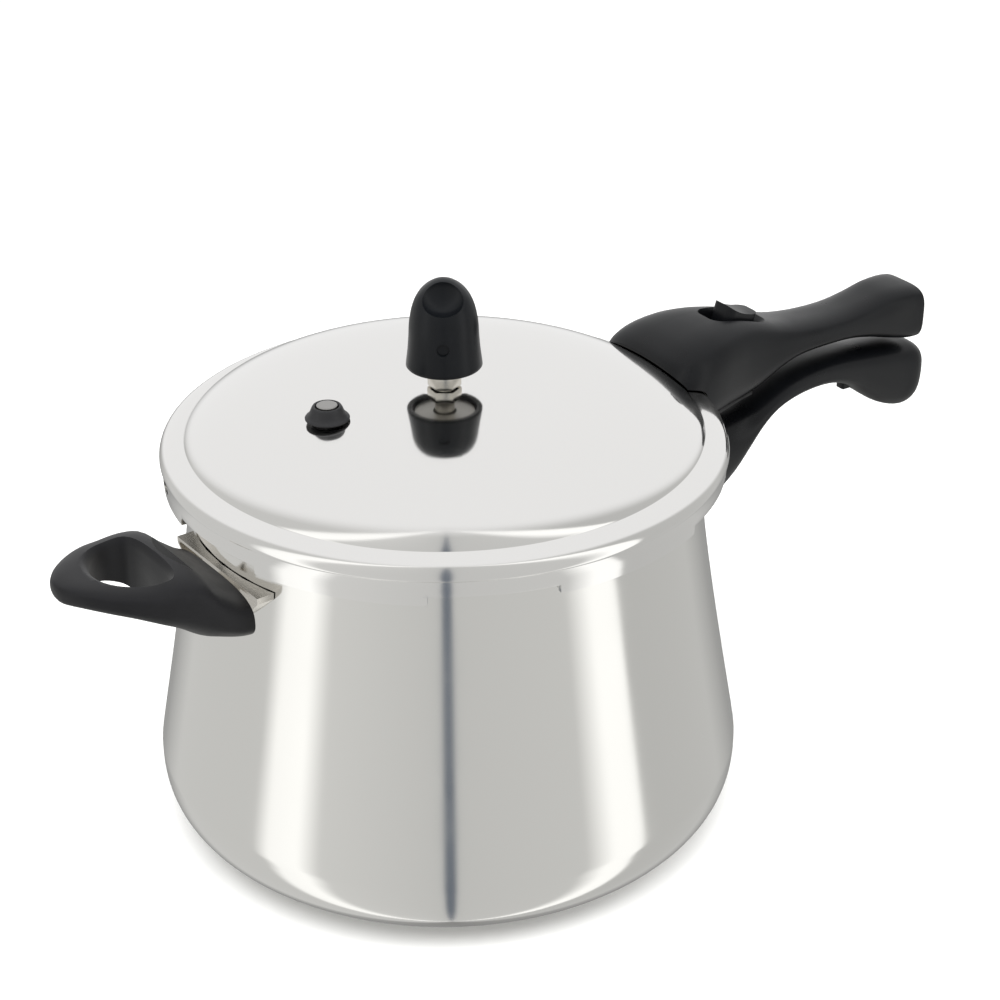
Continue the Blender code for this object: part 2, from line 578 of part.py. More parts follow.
def helper_handle():
    grip = lofted("helper_handle", HELPER_STATIONS, -LID_RADIUS, PHENOLIC, HELPER_UNDER)
    boolean(grip, wall_solid("helper_root_wall", HELPER_CUP_FLOOR + 2 * FIT))
    lip = pot_radius(HELPER_CUP_TOP) + HELPER_CUP_DEPTH
    low, high = SKIRT_BOTTOM - 60, SKIRT_BOTTOM + 6
    trim = prism("helper_root_trim", [(-50, low), (50, low), (50, high), (-50, high)],
                 (LID_RADIUS - 50, lip + FIT), None, BACKWARDS)
    boolean(trim, prism("helper_root_keep", cup_outline(HELPER_CUP_WALL + FIT),
                        (LID_RADIUS - 60, lip + 8), None, BACKWARDS))
    boolean(grip, trim)
    far, near, half = HELPER_HOLE
    outline = [(-near - (far - near) * math.sin(math.pi * k / 10), half * math.cos(math.pi * k / 10))
               for k in range(11)]
    boolean(grip, prism("helper_finger_hole", outline, (low, high)))
    rib_side, bulge_side = [], []
    for k in range(9):
        across = 1 - k / 4
        x = HELPER_RIB - near + HELPER_SLOT_BOW * across ** 2
        rib_side.append((x, 0.85 * half * across))
        bulge_side.append((x + HELPER_SLOT_WIDTH * (1 - across ** 2), 0.85 * half * across))
    boolean(grip, prism("helper_crescent", rib_side + bulge_side[-2:0:-1],
                        (SKIRT_BOTTOM - 13, high)))
    boolean(grip, block("helper_tongue_slot", (-HELPER_TONGUE_END - FIT, 20 - LID_RADIUS),
                        (-HELPER_TONGUE_HALF - FIT, HELPER_TONGUE_HALF + FIT),
                        (HELPER_TONGUE_Z[0] - FIT, HELPER_TONGUE_Z[1] + FIT)))
    boolean(grip, cylinder("helper_screw_seat", SCREW_HEAD_RADIUS + FIT, (low, HELPER_SCREW_SEAT),
                           centre=(HELPER_SCREW_X, 0), steps=16))
    boolean(grip, cylinder("helper_screw_hole", SCREW_RADIUS + FIT, (low, HELPER_TONGUE_Z[1] + 5),
                           centre=(HELPER_SCREW_X, 0), steps=16))
    screw("helper_handle_screw", (HELPER_SCREW_X, 0), HELPER_SCREW_SEAT - 0.3, 9.5)


def turn_helper_side():
    """The helper's pieces and cutters are made along -X and turned into place together."""
    turn = Matrix.Rotation(math.radians(HELPER_TURN), 4, 'Z')
    for item in bpy.data.objects:
        if item.name.startswith("helper_"):
            item.data.transform(turn)


# ================================ the lid ================================

def lid_shell():
    drop = CREASE_HEIGHT - STEP_HEIGHT
    lug_top = SKIRT_BOTTOM + LID_LUG_THICK
    skirt_inner = LID_RADIUS - SKIRT_TAPER - SKIRT_WALL
    inside = [(LID_LUG_INNER, SKIRT_BOTTOM), (LID_LUG_INNER, lug_top), (skirt_inner, lug_top),
              (skirt_inner + 0.3, STEP_HEIGHT + 0.2 * drop),
              (skirt_inner - 1.6, STEP_HEIGHT + 0.38 * drop),
              (CREASE_RADIUS, CREASE_HEIGHT - LID_WALL)]
    inside += [(CREASE_RADIUS * k, dome_height(CREASE_RADIUS * k) - LID_WALL)
               for k in reversed(DOME_STOPS)]
    inside.append((PIPE_HOLE_RADIUS, dome_height(PIPE_HOLE_RADIUS) - LID_WALL))
    shell = turned("lid_shell", lid_outside(PIPE_HOLE_RADIUS) + inside, ALUMINIUM)
    for k, angle in enumerate(bayonet_gaps()):
        boolean(shell, sector(f"lid_gap_{k}", (LID_LUG_INNER - 3, LID_RADIUS + 3),
                              (SKIRT_BOTTOM - 4, lug_top + 0.6), angle, LID_GAP_ANGLE))
    slot_low = lug_top + 1.3
    boolean(shell, sector("release_slot", (LID_RADIUS - 6, LID_RADIUS + 3),
                          (slot_low, slot_low + RELEASE_SLOT_HEIGHT), RELEASE_SLOT_ANGLE,
                          math.degrees(RELEASE_SLOT_WIDTH / LID_RADIUS)))
    for k, angle in enumerate(LID_RIVETS):
        boolean(shell, radial_pin(f"skirt_rivet_hole_{k}", LID_RIVET_RADIUS + FIT,
                                  (LID_RADIUS - 7, LID_RADIUS + 5), angle, LID_RIVET_HEIGHT))
    boolean(shell, cylinder("plug_hole", PLUG_STEM_RADIUS + FIT, (LID_TOP - 20, LID_TOP + 10),
                            centre=PLUG_PLACE))


def gasket():
    low, high = RIM_HEIGHT + 0.3, RIM_HEIGHT + 0.3 + GASKET_HEIGHT
    inner = NECK_RADIUS - POT_WALL + 0.2
    outer = LID_RADIUS - SKIRT_TAPER - SKIRT_WALL - 0.9
    turned("gasket", [(inner, low), (outer, low), (outer, low + 0.7 * GASKET_HEIGHT),
                      (outer - 1.2, high), (inner + 3, high), (inner, low + 0.5 * GASKET_HEIGHT)],
           RUBBER)


def lid_bracket():
    inner, outer = LID_BRACKET_INNER, LID_BRACKET_INNER + BRACKET_THICK
    low, high = SKIRT_BOTTOM + 1.8, STEP_HEIGHT
    plate = turned("lid_bracket", [(inner, low), (outer, low), (outer, high), (inner, high)],
                   STEEL, -LID_BRACKET_HALF_ANGLE, 2 * LID_BRACKET_HALF_ANGLE, 6)
    for side in (-1, 1):
        arm_y = sorted((side * ARM_Y[0], side * ARM_Y[1]))
        boolean(plate, block(f"lid_bracket_arm_{side}", (inner, ARM_END), arm_y, ARM_Z), 'UNION')
        boolean(plate, cylinder(f"arm_hole_{side}", SCREW_RADIUS + FIT, (ARM_Z[0] - 2, ARM_Z[1] + 2),
                                centre=(UPPER_SCREW[0], side * UPPER_SCREW[1]), steps=14))
    for k, angle in enumerate(LID_RIVETS):
        boolean(plate, radial_pin(f"bracket_rivet_hole_{k}", LID_RIVET_RADIUS + FIT,
                                  (LID_RADIUS - 3, LID_RADIUS + 5), angle, LID_RIVET_HEIGHT))
        rivet(f"lid_bracket_rivet_{k + 1}", LID_RIVET_RADIUS, (LID_RADIUS - 3.2, outer + 0.3),
              (LID_RIVET_HEAD_RADIUS, outer + 0.3, outer + 1.6), angle, LID_RIVET_HEIGHT)


def latch_frame():
    """The latch's frame in the part's frame."""
    slope = math.radians(LATCH_SLOPE)
    ahead = Vector((-math.cos(slope), 0, math.sin(slope)))
    up = Vector((math.sin(slope), 0, math.cos(slope)))
    frame = Matrix((ahead, up.cross(ahead), up)).transposed().to_4x4()
    frame.translation = Vector(LATCH_ORIGIN)
    return frame


def cavity_plan(start, end, inset):
    """The outline under the upper handle, inset from its sides."""
    widths = [(LID_RADIUS + x, half) for x, half, *rest in UPPER_STATIONS]

    def half_at(x):
        for (x0, w0), (x1, w1) in zip(widths, widths[1:]):
            if x0 <= x <= x1:
                return w0 + (w1 - w0) * (x - x0) / (x1 - x0)
        return widths[0][1]

    line = [(start, half_at(start))] + [p for p in widths if start < p[0] < end]
    line.append((end, half_at(end)))
    return ([(x, inset - half) for x, half in line]
            + [(x, half - inset) for x, half in reversed(line)])


def upper_handle():
    grip = lofted("upper_handle", UPPER_STATIONS, LID_RADIUS, PHENOLIC)
    side = LID_RADIUS + 1.3 * FIT
    over_lid = [(r + 1.3 * FIT, z + FIT) for r, z in lid_outside(20)[:-2]]
    over_lid += [(side, STEP_HEIGHT), (side, SKIRT_BOTTOM - 10)]
    boolean(grip, turned_solid("upper_handle_lid", [(0, SKIRT_BOTTOM - 10), (0, over_lid[0][1] + 0.5)]
                               + over_lid, None, RING_STEPS))
    boolean(grip, prism("upper_cavity", cavity_plan(CAVITY_START, CAVITY_END, CAVITY_INSET),
                        (SKIRT_BOTTOM - 15, CAVITY_ROOF)))
    boolean(grip, block("latch_cavity", (KEEPER_X[0] + 3.5, CAVITY_END),
                        (-BAR_WIDTH / 2 - 1, BAR_WIDTH / 2 + 1), (SKIRT_BOTTOM - 15, LATCH_ROOF)))
    frame = latch_frame()
    recess = rounded_plan(KNOB_LENGTH + LATCH_TRAVEL + 2 * FIT + RECESS_SLACK,
                          KNOB_WIDTH + 2 * FIT + 0.6, 4.4, (LATCH_TRAVEL - RECESS_SLACK) / 2)
    boolean(grip, prism("knob_recess", recess, (0, 30), None, frame))
    boolean(grip, block("stem_slot", (-STEM_LENGTH / 2 - FIT, STEM_LENGTH / 2 + LATCH_TRAVEL + FIT),
                        (-STEM_WIDTH / 2 - FIT, STEM_WIDTH / 2 + FIT), (-16, 2), None, frame))
    for k, y in enumerate((-UPPER_SCREW[1], UPPER_SCREW[1])):
        boolean(grip, cylinder(f"upper_screw_hole_{k}", SCREW_RADIUS + FIT,
                               (CAVITY_ROOF - 4, CAVITY_ROOF + 9.5), centre=(UPPER_SCREW[0], y),
                               steps=14))
        screw(f"upper_handle_screw_{k + 1}", (UPPER_SCREW[0], y), ARM_Z[0] - 0.3, 11.0)


def latch_cover():
    cover = prism("latch_cover", cavity_plan(COVER_START, CAVITY_END - FIT, CAVITY_INSET + FIT),
                  COVER_Z, PHENOLIC)
    boolean(cover, block("hook_slot", (COVER_START - 8, KEEPER_X[1] + 6.5),
                         (-BAR_WIDTH / 2 - 1, BAR_WIDTH / 2 + 1), (COVER_Z[0] - 3, COVER_Z[1] + 3)))
    foot, end = COVER_Z[1] + 0.3, CAVITY_END - 1
    leaf = [(end - 7, foot), (end, foot), (end, foot + 0.7), (end - 1.4, foot + 0.7),
            (end - 2.2, foot + 8.2), (end - 2.9, foot + 8.2), (end - 2.4, foot + 0.7),
            (end - 7, foot + 0.7)]
    prism("latch_detent_spring", leaf, (-3, 3), STEEL, SIDEWAYS)


def latch():
    frame = latch_frame()
    knob = prism("latch_knob", rounded_plan(KNOB_LENGTH, KNOB_WIDTH, 4.0), (0.3, KNOB_HEIGHT),
                 PHENOLIC, frame)
    boolean(knob, cylinder("knob_scoop", 24, (-20, 20), steps=32,
                           frame=frame @ Matrix.Translation((-1.5, 0, KNOB_HEIGHT + 21.6))
                           @ Matrix.Rotation(math.pi / 2, 4, 'X')))
    boolean(knob, block("stem_guide", (-STEM_LENGTH / 2, STEM_LENGTH / 2),
                        (-STEM_WIDTH / 2, STEM_WIDTH / 2), (0.3 - BAR_DEPTH, 1.0), None, frame), 'UNION')
    boolean(knob, prism("stem_hole", rounded_plan(3.0, 3.0, 1.4), (-BAR_DEPTH - 2, -5.0), None, frame))
    bar = block("latch_bar", (-BAR_REAR, BAR_FRONT), (-BAR_WIDTH / 2, BAR_WIDTH / 2),
                (-BAR_DEPTH - BAR_THICK, -BAR_DEPTH), STEEL, frame)
    tip = frame @ Vector((BAR_FRONT, 0, -BAR_DEPTH - BAR_THICK / 2))
    boolean(bar, block("hook_guide", (tip.x - 0.4, tip.x - 0.4 + HOOK_THICK),
                       (-BAR_WIDTH / 2, BAR_WIDTH / 2), (HOOK_BOTTOM, tip.z + 0.6)), 'UNION')
    boolean(bar, prism("bar_hole", rounded_plan(3.0, 3.0, 1.4), (-BAR_DEPTH - 6, -BAR_DEPTH + 3),
                       None, frame))
    head = -BAR_DEPTH - BAR_THICK - 0.3
    turned_solid("latch_screw", [(0, head - 1.2), (2.6, head - 1.2), (2.6, head), (1.0, head),
                                 (1.0, -7), (0, -7)], STEEL, 12, frame=frame)


# ======================= vent pipe, weight, safety plug =======================

def vent_parts():
    foot = LID_TOP + 0.3
    middle = foot + PIPE_HEX_HEIGHT / 2
    top, low = LID_TOP + PIPE_ABOVE, LID_TOP - PIPE_BELOW
    profile = [(PIPE_BORE_RADIUS, low), (PIPE_THREAD_RADIUS, low), (PIPE_THREAD_RADIUS, middle),
               (PIPE_NECK_RADIUS, middle), (PIPE_NECK_RADIUS, top - 8),
               (PIPE_BORE_RADIUS + 0.8, top), (PIPE_BORE_RADIUS, top)]
    pipe = turned("vent_pipe", profile, PLATED, steps=20)
    ring = cylinder("pipe_hexagon", PIPE_HEX_WIDTH / math.sqrt(3), (foot, foot + PIPE_HEX_HEIGHT),
                    steps=6, frame=Matrix.Rotation(math.radians(WEIGHT_TURN + 90), 4, 'Z'))
    boolean(ring, cylinder("pipe_hexagon_bore", PIPE_BORE_RADIUS + 1,
                           (foot - 2, foot + PIPE_HEX_HEIGHT + 2), steps=20))
    boolean(pipe, ring, 'UNION')
    under = dome_height(9.0) - LID_WALL - 0.3
    turned("vent_washer", [(PIPE_HOLE_RADIUS, under - WASHER), (9.0, under - WASHER), (9.0, under),
                           (PIPE_HOLE_RADIUS, under)], RUBBER, steps=24)
    under -= WASHER + 0.4
    nut = cylinder("vent_pipe_nut", 8.2, (under - 5.0, under), PLATED, steps=6)
    boolean(nut, cylinder("nut_bore", PIPE_HOLE_RADIUS, (under - 8, under + 3)))


def weight():
    low = LID_TOP + WEIGHT_CLEARANCE
    waist = low + WEIGHT_WAIST
    neck = WEIGHT_RADIUS - 1.3
    grip = WEIGHT_HEIGHT - WEIGHT_WAIST
    outer = [(0, low + 4), (WEIGHT_RADIUS - WEIGHT_WALL, low + 4),
             (WEIGHT_RADIUS - WEIGHT_WALL, low), (WEIGHT_RADIUS, low),
             (WEIGHT_RADIUS - 0.3, low + 1.2), (neck, waist)]
    outer += [(neck - inset, waist + share * grip) for inset, share in (
        (0.3, 0.125), (1.2, 0.33), (3.2, 0.625), (6.2, 0.854), (9.5, 0.967))]
    cap = turned_solid("weight_cap", outer + [(0, low + WEIGHT_HEIGHT)], PHENOLIC, 30)
    hollow = WEIGHT_RADIUS - WEIGHT_WALL - 0.6
    core_low, core_high = low + 2.0, waist + 2.0
    boolean(cap, cylinder("weight_hollow", hollow, (low - 5, core_high + 0.3), steps=30))
    turn = Matrix.Rotation(math.radians(WEIGHT_TURN), 4, 'Z')
    for k, side in enumerate((-1, 1)):
        build = bmesh.new()
        bmesh.ops.create_uvsphere(build, u_segments=18, v_segments=10, radius=1)
        bmesh.ops.scale(build, vec=(8.2, 7.5, 0.56 * grip), verts=build.verts)
        bmesh.ops.translate(build, vec=(0, side * (neck - 3.0), waist + 0.675 * grip),
                            verts=build.verts)
        bmesh.ops.transform(build, matrix=turn, verts=build.verts)
        boolean(cap, make_object(f"finger_scoop_{k}", build, None))
    seat, bore = LID_TOP + PIPE_ABOVE, PIPE_NECK_RADIUS + 0.8
    core_radius = hollow - FIT
    turned("weight_core", [(bore, core_low), (core_radius, core_low), (core_radius, core_high),
                           (1.0, core_high), (1.0, seat + 0.3), (PIPE_BORE_RADIUS + 1.2, seat + 0.3),
                           (bore, seat - 8)], FUSIBLE, steps=30)


def safety_plug():
    floor = dome_height(math.hypot(*PLUG_PLACE)) + 0.9
    top = floor + PLUG_HEIGHT
    neck = floor - LID_WALL - 2.2
    disc_low = top - 2.2
    outline = [(0, neck - 3.0), (PLUG_RIM_RADIUS - 1.5, neck - 3.0), (PLUG_RIM_RADIUS - 1.5, neck),
               (PLUG_STEM_RADIUS, neck), (PLUG_STEM_RADIUS, floor), (PLUG_RIM_RADIUS, floor),
               (PLUG_RIM_RADIUS, floor + 1.0), (PLUG_TOP_RADIUS, top),
               (PLUG_DISC_RADIUS + FIT, top), (PLUG_DISC_RADIUS + FIT, disc_low), (0, disc_low)]
    turned_solid("safety_plug", outline, RUBBER, 24, PLUG_PLACE)
    insert = [(0, disc_low + 0.3), (PLUG_DISC_RADIUS, disc_low + 0.3), (PLUG_DISC_RADIUS, top + 0.1),
              (PLUG_DISC_RADIUS - 0.5, top + 0.4), (0, top + 0.4)]
    turned_solid("safety_plug_insert", insert, FUSIBLE, 18, PLUG_PLACE)


for old in list(bpy.data.objects):
    bpy.data.objects.remove(old, do_unlink=True)

pot_body()
lower_handle_bracket()
lower_handle()
latch_keeper()
helper_bracket()
helper_handle()
turn_helper_side()
lid_shell()
gasket()
lid_bracket()
upper_handle()
latch_cover()
latch()
vent_parts()
weight()
safety_plug()
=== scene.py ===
"""Looks of the stovetop pressure cooker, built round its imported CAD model.

Lengths in the sections are in millimetres; each finished mesh is turned to metres.
"""
import math

import bmesh
import bpy
from mathutils import Matrix, Vector


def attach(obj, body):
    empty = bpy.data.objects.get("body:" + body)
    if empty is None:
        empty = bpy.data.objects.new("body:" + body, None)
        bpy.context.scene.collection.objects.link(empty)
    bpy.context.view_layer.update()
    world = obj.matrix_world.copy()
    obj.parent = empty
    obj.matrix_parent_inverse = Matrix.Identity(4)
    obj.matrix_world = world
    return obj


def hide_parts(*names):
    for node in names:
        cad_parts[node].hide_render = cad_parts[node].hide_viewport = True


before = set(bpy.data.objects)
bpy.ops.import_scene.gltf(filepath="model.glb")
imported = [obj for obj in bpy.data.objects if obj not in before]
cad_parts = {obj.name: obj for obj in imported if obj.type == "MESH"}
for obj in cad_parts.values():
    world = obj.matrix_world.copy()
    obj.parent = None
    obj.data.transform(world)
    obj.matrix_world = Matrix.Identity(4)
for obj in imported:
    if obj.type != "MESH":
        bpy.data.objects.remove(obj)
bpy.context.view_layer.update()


# ============================== pot body ==============================
# Spun from one disc of aluminium, bulging low down and drawn in to a straight neck with six
# bayonet lugs under the rim. It is buffed all over, which leaves fine lines round the axis.
base_radius, belly_radius, belly_height = 70.0, 122.5, 33.0
neck_radius, rim_height, pot_wall = 103.5, 163.2, 3.2
lug_low, lug_high = rim_height - 4.6, rim_height - 1.6


def linear(code):
    """An sRGB hex colour as linear RGBA."""
    parts = [int(code[i:i + 2], 16) / 255 for i in (0, 2, 4)]
    return [c / 12.92 if c <= 0.04045 else ((c + 0.055) / 1.055) ** 2.4 for c in parts] + [1.0]


def add_node(tree, kind, inputs=(), **settings):
    """A node with its settings; each input is a value or another node's socket."""
    made = tree.nodes.new(kind)
    for name, value in settings.items():
        setattr(made, name, value)
    for place, value in dict(inputs).items():
        if isinstance(value, bpy.types.NodeSocket):
            tree.links.new(value, made.inputs[place])
        else:
            made.inputs[place].default_value = value
    return made


def new_material(name, code, metallic, roughness):
    """A material with its colour, metallic value and roughness on the shader's own sockets."""
    made = bpy.data.materials.new(name)
    made.use_nodes = True
    shader = made.node_tree.nodes["Principled BSDF"]
    shader.inputs["Base Color"].default_value = linear(code)
    shader.inputs["Metallic"].default_value = metallic
    shader.inputs["Roughness"].default_value = roughness
    return made, made.node_tree, shader


def lathe_coordinates(tree, per_metre, round_share, centre=(0, 0, 0)):
    """Coordinates along the radius, the height and round the axis, for marks left by turning."""
    where = add_node(tree, "ShaderNodeTexCoord").outputs["Object"]
    moved = add_node(tree, "ShaderNodeMapping", {"Vector": where, "Location": [-c for c in centre]})
    split = add_node(tree, "ShaderNodeSeparateXYZ", {0: moved.outputs[0]}).outputs
    x2 = add_node(tree, "ShaderNodeMath", {0: split[0], 1: split[0]}, operation='MULTIPLY')
    y2 = add_node(tree, "ShaderNodeMath", {0: split[1], 1: split[1], 2: x2.outputs[0]},
                  operation='MULTIPLY_ADD')
    radius = add_node(tree, "ShaderNodeMath", {0: y2.outputs[0], 1: 0.5}, operation='POWER')
    angle = add_node(tree, "ShaderNodeMath", {0: split[0], 1: radius.outputs[0]},
                     operation='DIVIDE')
    across = add_node(tree, "ShaderNodeMath", {0: radius.outputs[0], 1: per_metre},
                      operation='MULTIPLY')
    along = add_node(tree, "ShaderNodeMath", {0: split[2], 1: per_metre}, operation='MULTIPLY')
    turn = add_node(tree, "ShaderNodeMath", {0: angle.outputs[0], 1: round_share},
                    operation='MULTIPLY')
    return add_node(tree, "ShaderNodeCombineXYZ", {0: across.outputs[0], 1: along.outputs[0],
                                                   2: turn.outputs[0]}).outputs[0]


def polished_metal(name, code, roughness, line_mm, depth, centre=(0, 0, 0), spread=0.05):
    """Buffed metal: lines a fraction of a millimetre apart, and a slow change of gloss."""
    made, tree, shader = new_material(name, code, 1.0, roughness)
    round_lines = lathe_coordinates(tree, 1000 / line_mm, 1.5, centre)
    lines = add_node(tree, "ShaderNodeTexNoise", {"Vector": round_lines, "Scale": 1.0,
                                                  "Detail": 3.0, "Roughness": 0.6})
    bump = add_node(tree, "ShaderNodeBump", {"Height": lines.outputs[0], "Strength": depth,
                                             "Distance": 0.0001})
    tree.links.new(bump.outputs[0], shader.inputs["Normal"])
    where = add_node(tree, "ShaderNodeTexCoord").outputs["Object"]
    cloud = add_node(tree, "ShaderNodeTexNoise", {"Vector": where, "Scale": 22.0, "Detail": 3.0})
    gloss = add_node(tree, "ShaderNodeMapRange", {"Value": cloud.outputs[0], "From Min": 0.3,
                                                  "From Max": 0.7, "To Min": roughness - spread / 2,
                                                  "To Max": roughness + spread / 2})
    tree.links.new(gloss.outputs[0], shader.inputs["Roughness"])
    return made


def bezier(p0, p1, p2, p3, count):
    """Points along a cubic curve, both ends included."""
    line = []
    for k in range(count + 1):
        t = k / count
        weights = ((1 - t) ** 3, 3 * t * (1 - t) ** 2, 3 * t * t * (1 - t), t ** 3)
        line.append(tuple(sum(w * p[i] for w, p in zip(weights, (p0, p1, p2, p3)))
                          for i in (0, 1)))
    return line


def spin_profile(build, profile, steps, closed=True, start=0.0, sweep=360.0):
    """Turns a (radius, height) outline about Z; a part turn of a closed outline gets ends."""
    turn = Matrix.Rotation(math.radians(start), 3, 'Z')
    ring = [build.verts.new(turn @ Vector((r, 0, z))) for r, z in profile]
    pairs = list(zip(ring, ring[1:])) + ([(ring[-1], ring[0])] if closed else [])
    edges = [build.edges.new(pair) for pair in pairs]
    whole = sweep > 359.9
    face = [] if whole or not closed else [build.faces.new(ring)]
    bmesh.ops.spin(build, geom=ring + edges + face, cent=(0, 0, 0), axis=(0, 0, 1),
                   angle=math.radians(sweep), steps=steps, use_merge=whole)


def finish_mesh(name, build, material, sharp=35, scale=0.001):
    """Closes, orients and scales a bmesh and makes it an object with one material."""
    bmesh.ops.remove_doubles(build, verts=build.verts, dist=1e-4)
    bmesh.ops.dissolve_degenerate(build, dist=1e-5, edges=build.edges)
    bmesh.ops.recalc_face_normals(build, faces=build.faces)
    bmesh.ops.scale(build, vec=(scale, scale, scale), verts=build.verts)
    mesh = bpy.data.meshes.new(name)
    build.to_mesh(mesh)
    build.free()
    item = bpy.data.objects.new(name, mesh)
    bpy.context.scene.collection.objects.link(item)
    if material:
        mesh.materials.append(material)
        mesh.shade_smooth()
        mesh.set_sharp_from_angle(angle=math.radians(sharp))
    return item


def soften(build, angle, offset, segments=2):
    """Rounds every edge that bends by more than an angle."""
    edges = [e for e in build.edges if len(e.link_faces) == 2
             and e.calc_face_angle(0) > math.radians(angle)]
    bmesh.ops.bevel(build, geom=edges, offset=offset, segments=segments, profile=0.5,
                    affect='EDGES', material=-1, clamp_overlap=True)


neck_top = lug_low - 0.4
lower_wall = bezier((base_radius, 0), (base_radius + 1.05 * (belly_radius - base_radius), 0),
                    (belly_radius, 0.7 * belly_height), (belly_radius, belly_height), 20)
rise = neck_top - belly_height
upper_wall = bezier((belly_radius, belly_height), (belly_radius, belly_height + 0.03 * rise),
                    (neck_radius - 1.0, belly_height + 0.8 * rise), (neck_radius, neck_top), 28)
outside = lower_wall + upper_wall[1:]
inside = []
for before, here, after in zip(outside, outside[1:], outside[2:]):
    dr, dz = after[0] - before[0], after[1] - before[1]
    size = math.hypot(dr, dz)
    inside.append((here[0] - pot_wall * dz / size, here[1] + pot_wall * dr / size))
inside = [p for p in inside if 8.5 < p[1] < lug_low - 5]
rim_outer, rim_inner = neck_radius + 0.7, neck_radius - pot_wall
build = bmesh.new()
spin_profile(build, [(0, 0.6), (base_radius - 14, 0.6), (base_radius - 11, 0)] + outside
             + [(rim_outer, neck_top + 0.6), (rim_outer, rim_height - 1.0),
                (rim_outer - 0.4, rim_height - 0.3), (rim_outer - 1.1, rim_height),
                (rim_inner + 1.0, rim_height), (rim_inner + 0.2, rim_height - 0.5),
                (rim_inner, rim_height - 1.4), (rim_inner, lug_low)]
             + inside[::-1] + [(inside[0][0] - 6, 6.3), (base_radius, 5.0), (0, 5.0)], 240,
             closed=False)
for k in range(6):
    spin_profile(build, [(rim_outer - 0.6, lug_low), (neck_radius + 5.4, lug_low),
                         (neck_radius + 5.9, lug_low + 0.5), (neck_radius + 5.9, lug_high - 0.5),
                         (neck_radius + 5.4, lug_high), (rim_outer - 0.6, lug_high)], 12,
                 start=37.5 - 11.2 + 60 * k, sweep=22.4)
# buffed aluminium; the turning lines stand about 0.35 mm apart
pot_aluminium = polished_metal("Buffed aluminium, pot", "E9E8E5", 0.10, 0.35, 0.06)
pot = finish_mesh("pot_wall", build, pot_aluminium, 40)
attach(pot, "pot")
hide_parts("pot_body")


# ================================ lid =================================
# Pressed aluminium: a flat-topped dome that drops steeply to a crease, a rolled shoulder
# outside it and a deep skirt that goes over the rim.
# The skirt's edge carries six inward lugs with gaps between them, and a slot that lets
# steam out if the gasket is pushed out.
lid_radius, crease_radius = 114.0, 104.0
skirt_bottom, step_height, crease_height = 155.0, 165.3, 172.3
dome_rise, dome_power, dome_edge, lid_wall = 17.0, 4.0, 0.78, 3.0
gap_top = skirt_bottom + 3.6


def dome(radius):
    """Height of the dome's outside at a radius."""
    return crease_height + dome_rise * (1 - (radius / crease_radius) ** dome_power) ** dome_edge


def boolean_cut(item, cutters, operation='DIFFERENCE'):
    """Cuts or joins, then keeps the result as the mesh."""
    for cutter in cutters:
        step = item.modifiers.new("cut", 'BOOLEAN')
        step.operation, step.solver, step.object = operation, 'EXACT', cutter
    graph = bpy.context.evaluated_depsgraph_get()
    result = bpy.data.meshes.new_from_object(item.evaluated_get(graph), depsgraph=graph)
    item.modifiers.clear()
    old, item.data = item.data, result
    result.name = old.name.rstrip(".0123456789") + "_cut"
    bpy.data.meshes.remove(old)
    for cutter in cutters:
        bpy.data.objects.remove(cutter, do_unlink=True)


dome_line = [(r, dome(r)) for r in [5.0] + [crease_radius * math.sin(math.pi * k / 88) for k in range(3, 44)]]
shoulder = bezier((crease_radius, crease_height), (lid_radius - 5.0, crease_height - 0.5),
                  (lid_radius + 0.2, step_height + 0.72 * (crease_height - step_height)),
                  (lid_radius, step_height + 0.5), 12)
skirt_outer, skirt_inner = lid_radius - 1.1, lid_radius - 3.4
outer_at_gap = skirt_outer + 0.5 * 3.6 / 10.3
profile = dome_line + shoulder + [
    (lid_radius - 0.25, step_height + 0.05), (lid_radius - 0.6, step_height - 0.2),
    (outer_at_gap + 0.1, gap_top + 2.5), (outer_at_gap, gap_top), (skirt_inner, gap_top),
    (skirt_inner, step_height), (skirt_inner - 1.2, step_height + 2.6),
    (crease_radius + 1, crease_height - lid_wall + 0.1)]
profile += [(r, z - lid_wall) for r, z in reversed(dome_line)]
build = bmesh.new()
spin_profile(build, profile, 360)
bmesh.ops.remove_doubles(build, verts=build.verts, dist=1e-4)
under_skirt = []
for face in build.faces:
    middle = face.calc_center_median()
    angle = math.degrees(math.atan2(middle.y, middle.x)) % 60
    if abs(middle.z - gap_top) < 0.01 and not 20 - 0.01 < (angle - 55) % 60 + 20 < 45:
        under_skirt.append(face)
moved = bmesh.ops.extrude_face_region(build, geom=under_skirt)["geom"]
bmesh.ops.delete(build, geom=under_skirt, context='FACES_ONLY')
for corner in (v for v in moved if isinstance(v, bmesh.types.BMVert)):
    if corner.co.xy.length > skirt_inner + 0.5:
        corner.co.xy *= skirt_outer / corner.co.xy.length
    corner.co.z = skirt_bottom
soften(build, 50, 0.45, 3)
for k in range(6):
    spin_profile(build, [(neck_radius + 1.5, skirt_bottom + 0.4), (neck_radius + 1.9, skirt_bottom),
                         (skirt_inner + 0.6, skirt_bottom + 0.1),
                         (skirt_inner + 0.6, skirt_bottom + 3.0), (neck_radius + 1.9, skirt_bottom + 3.0),
                         (neck_radius + 1.5, skirt_bottom + 2.6)], 18,
                 start=20.0 + 0.3 + 60 * k, sweep=34.4)
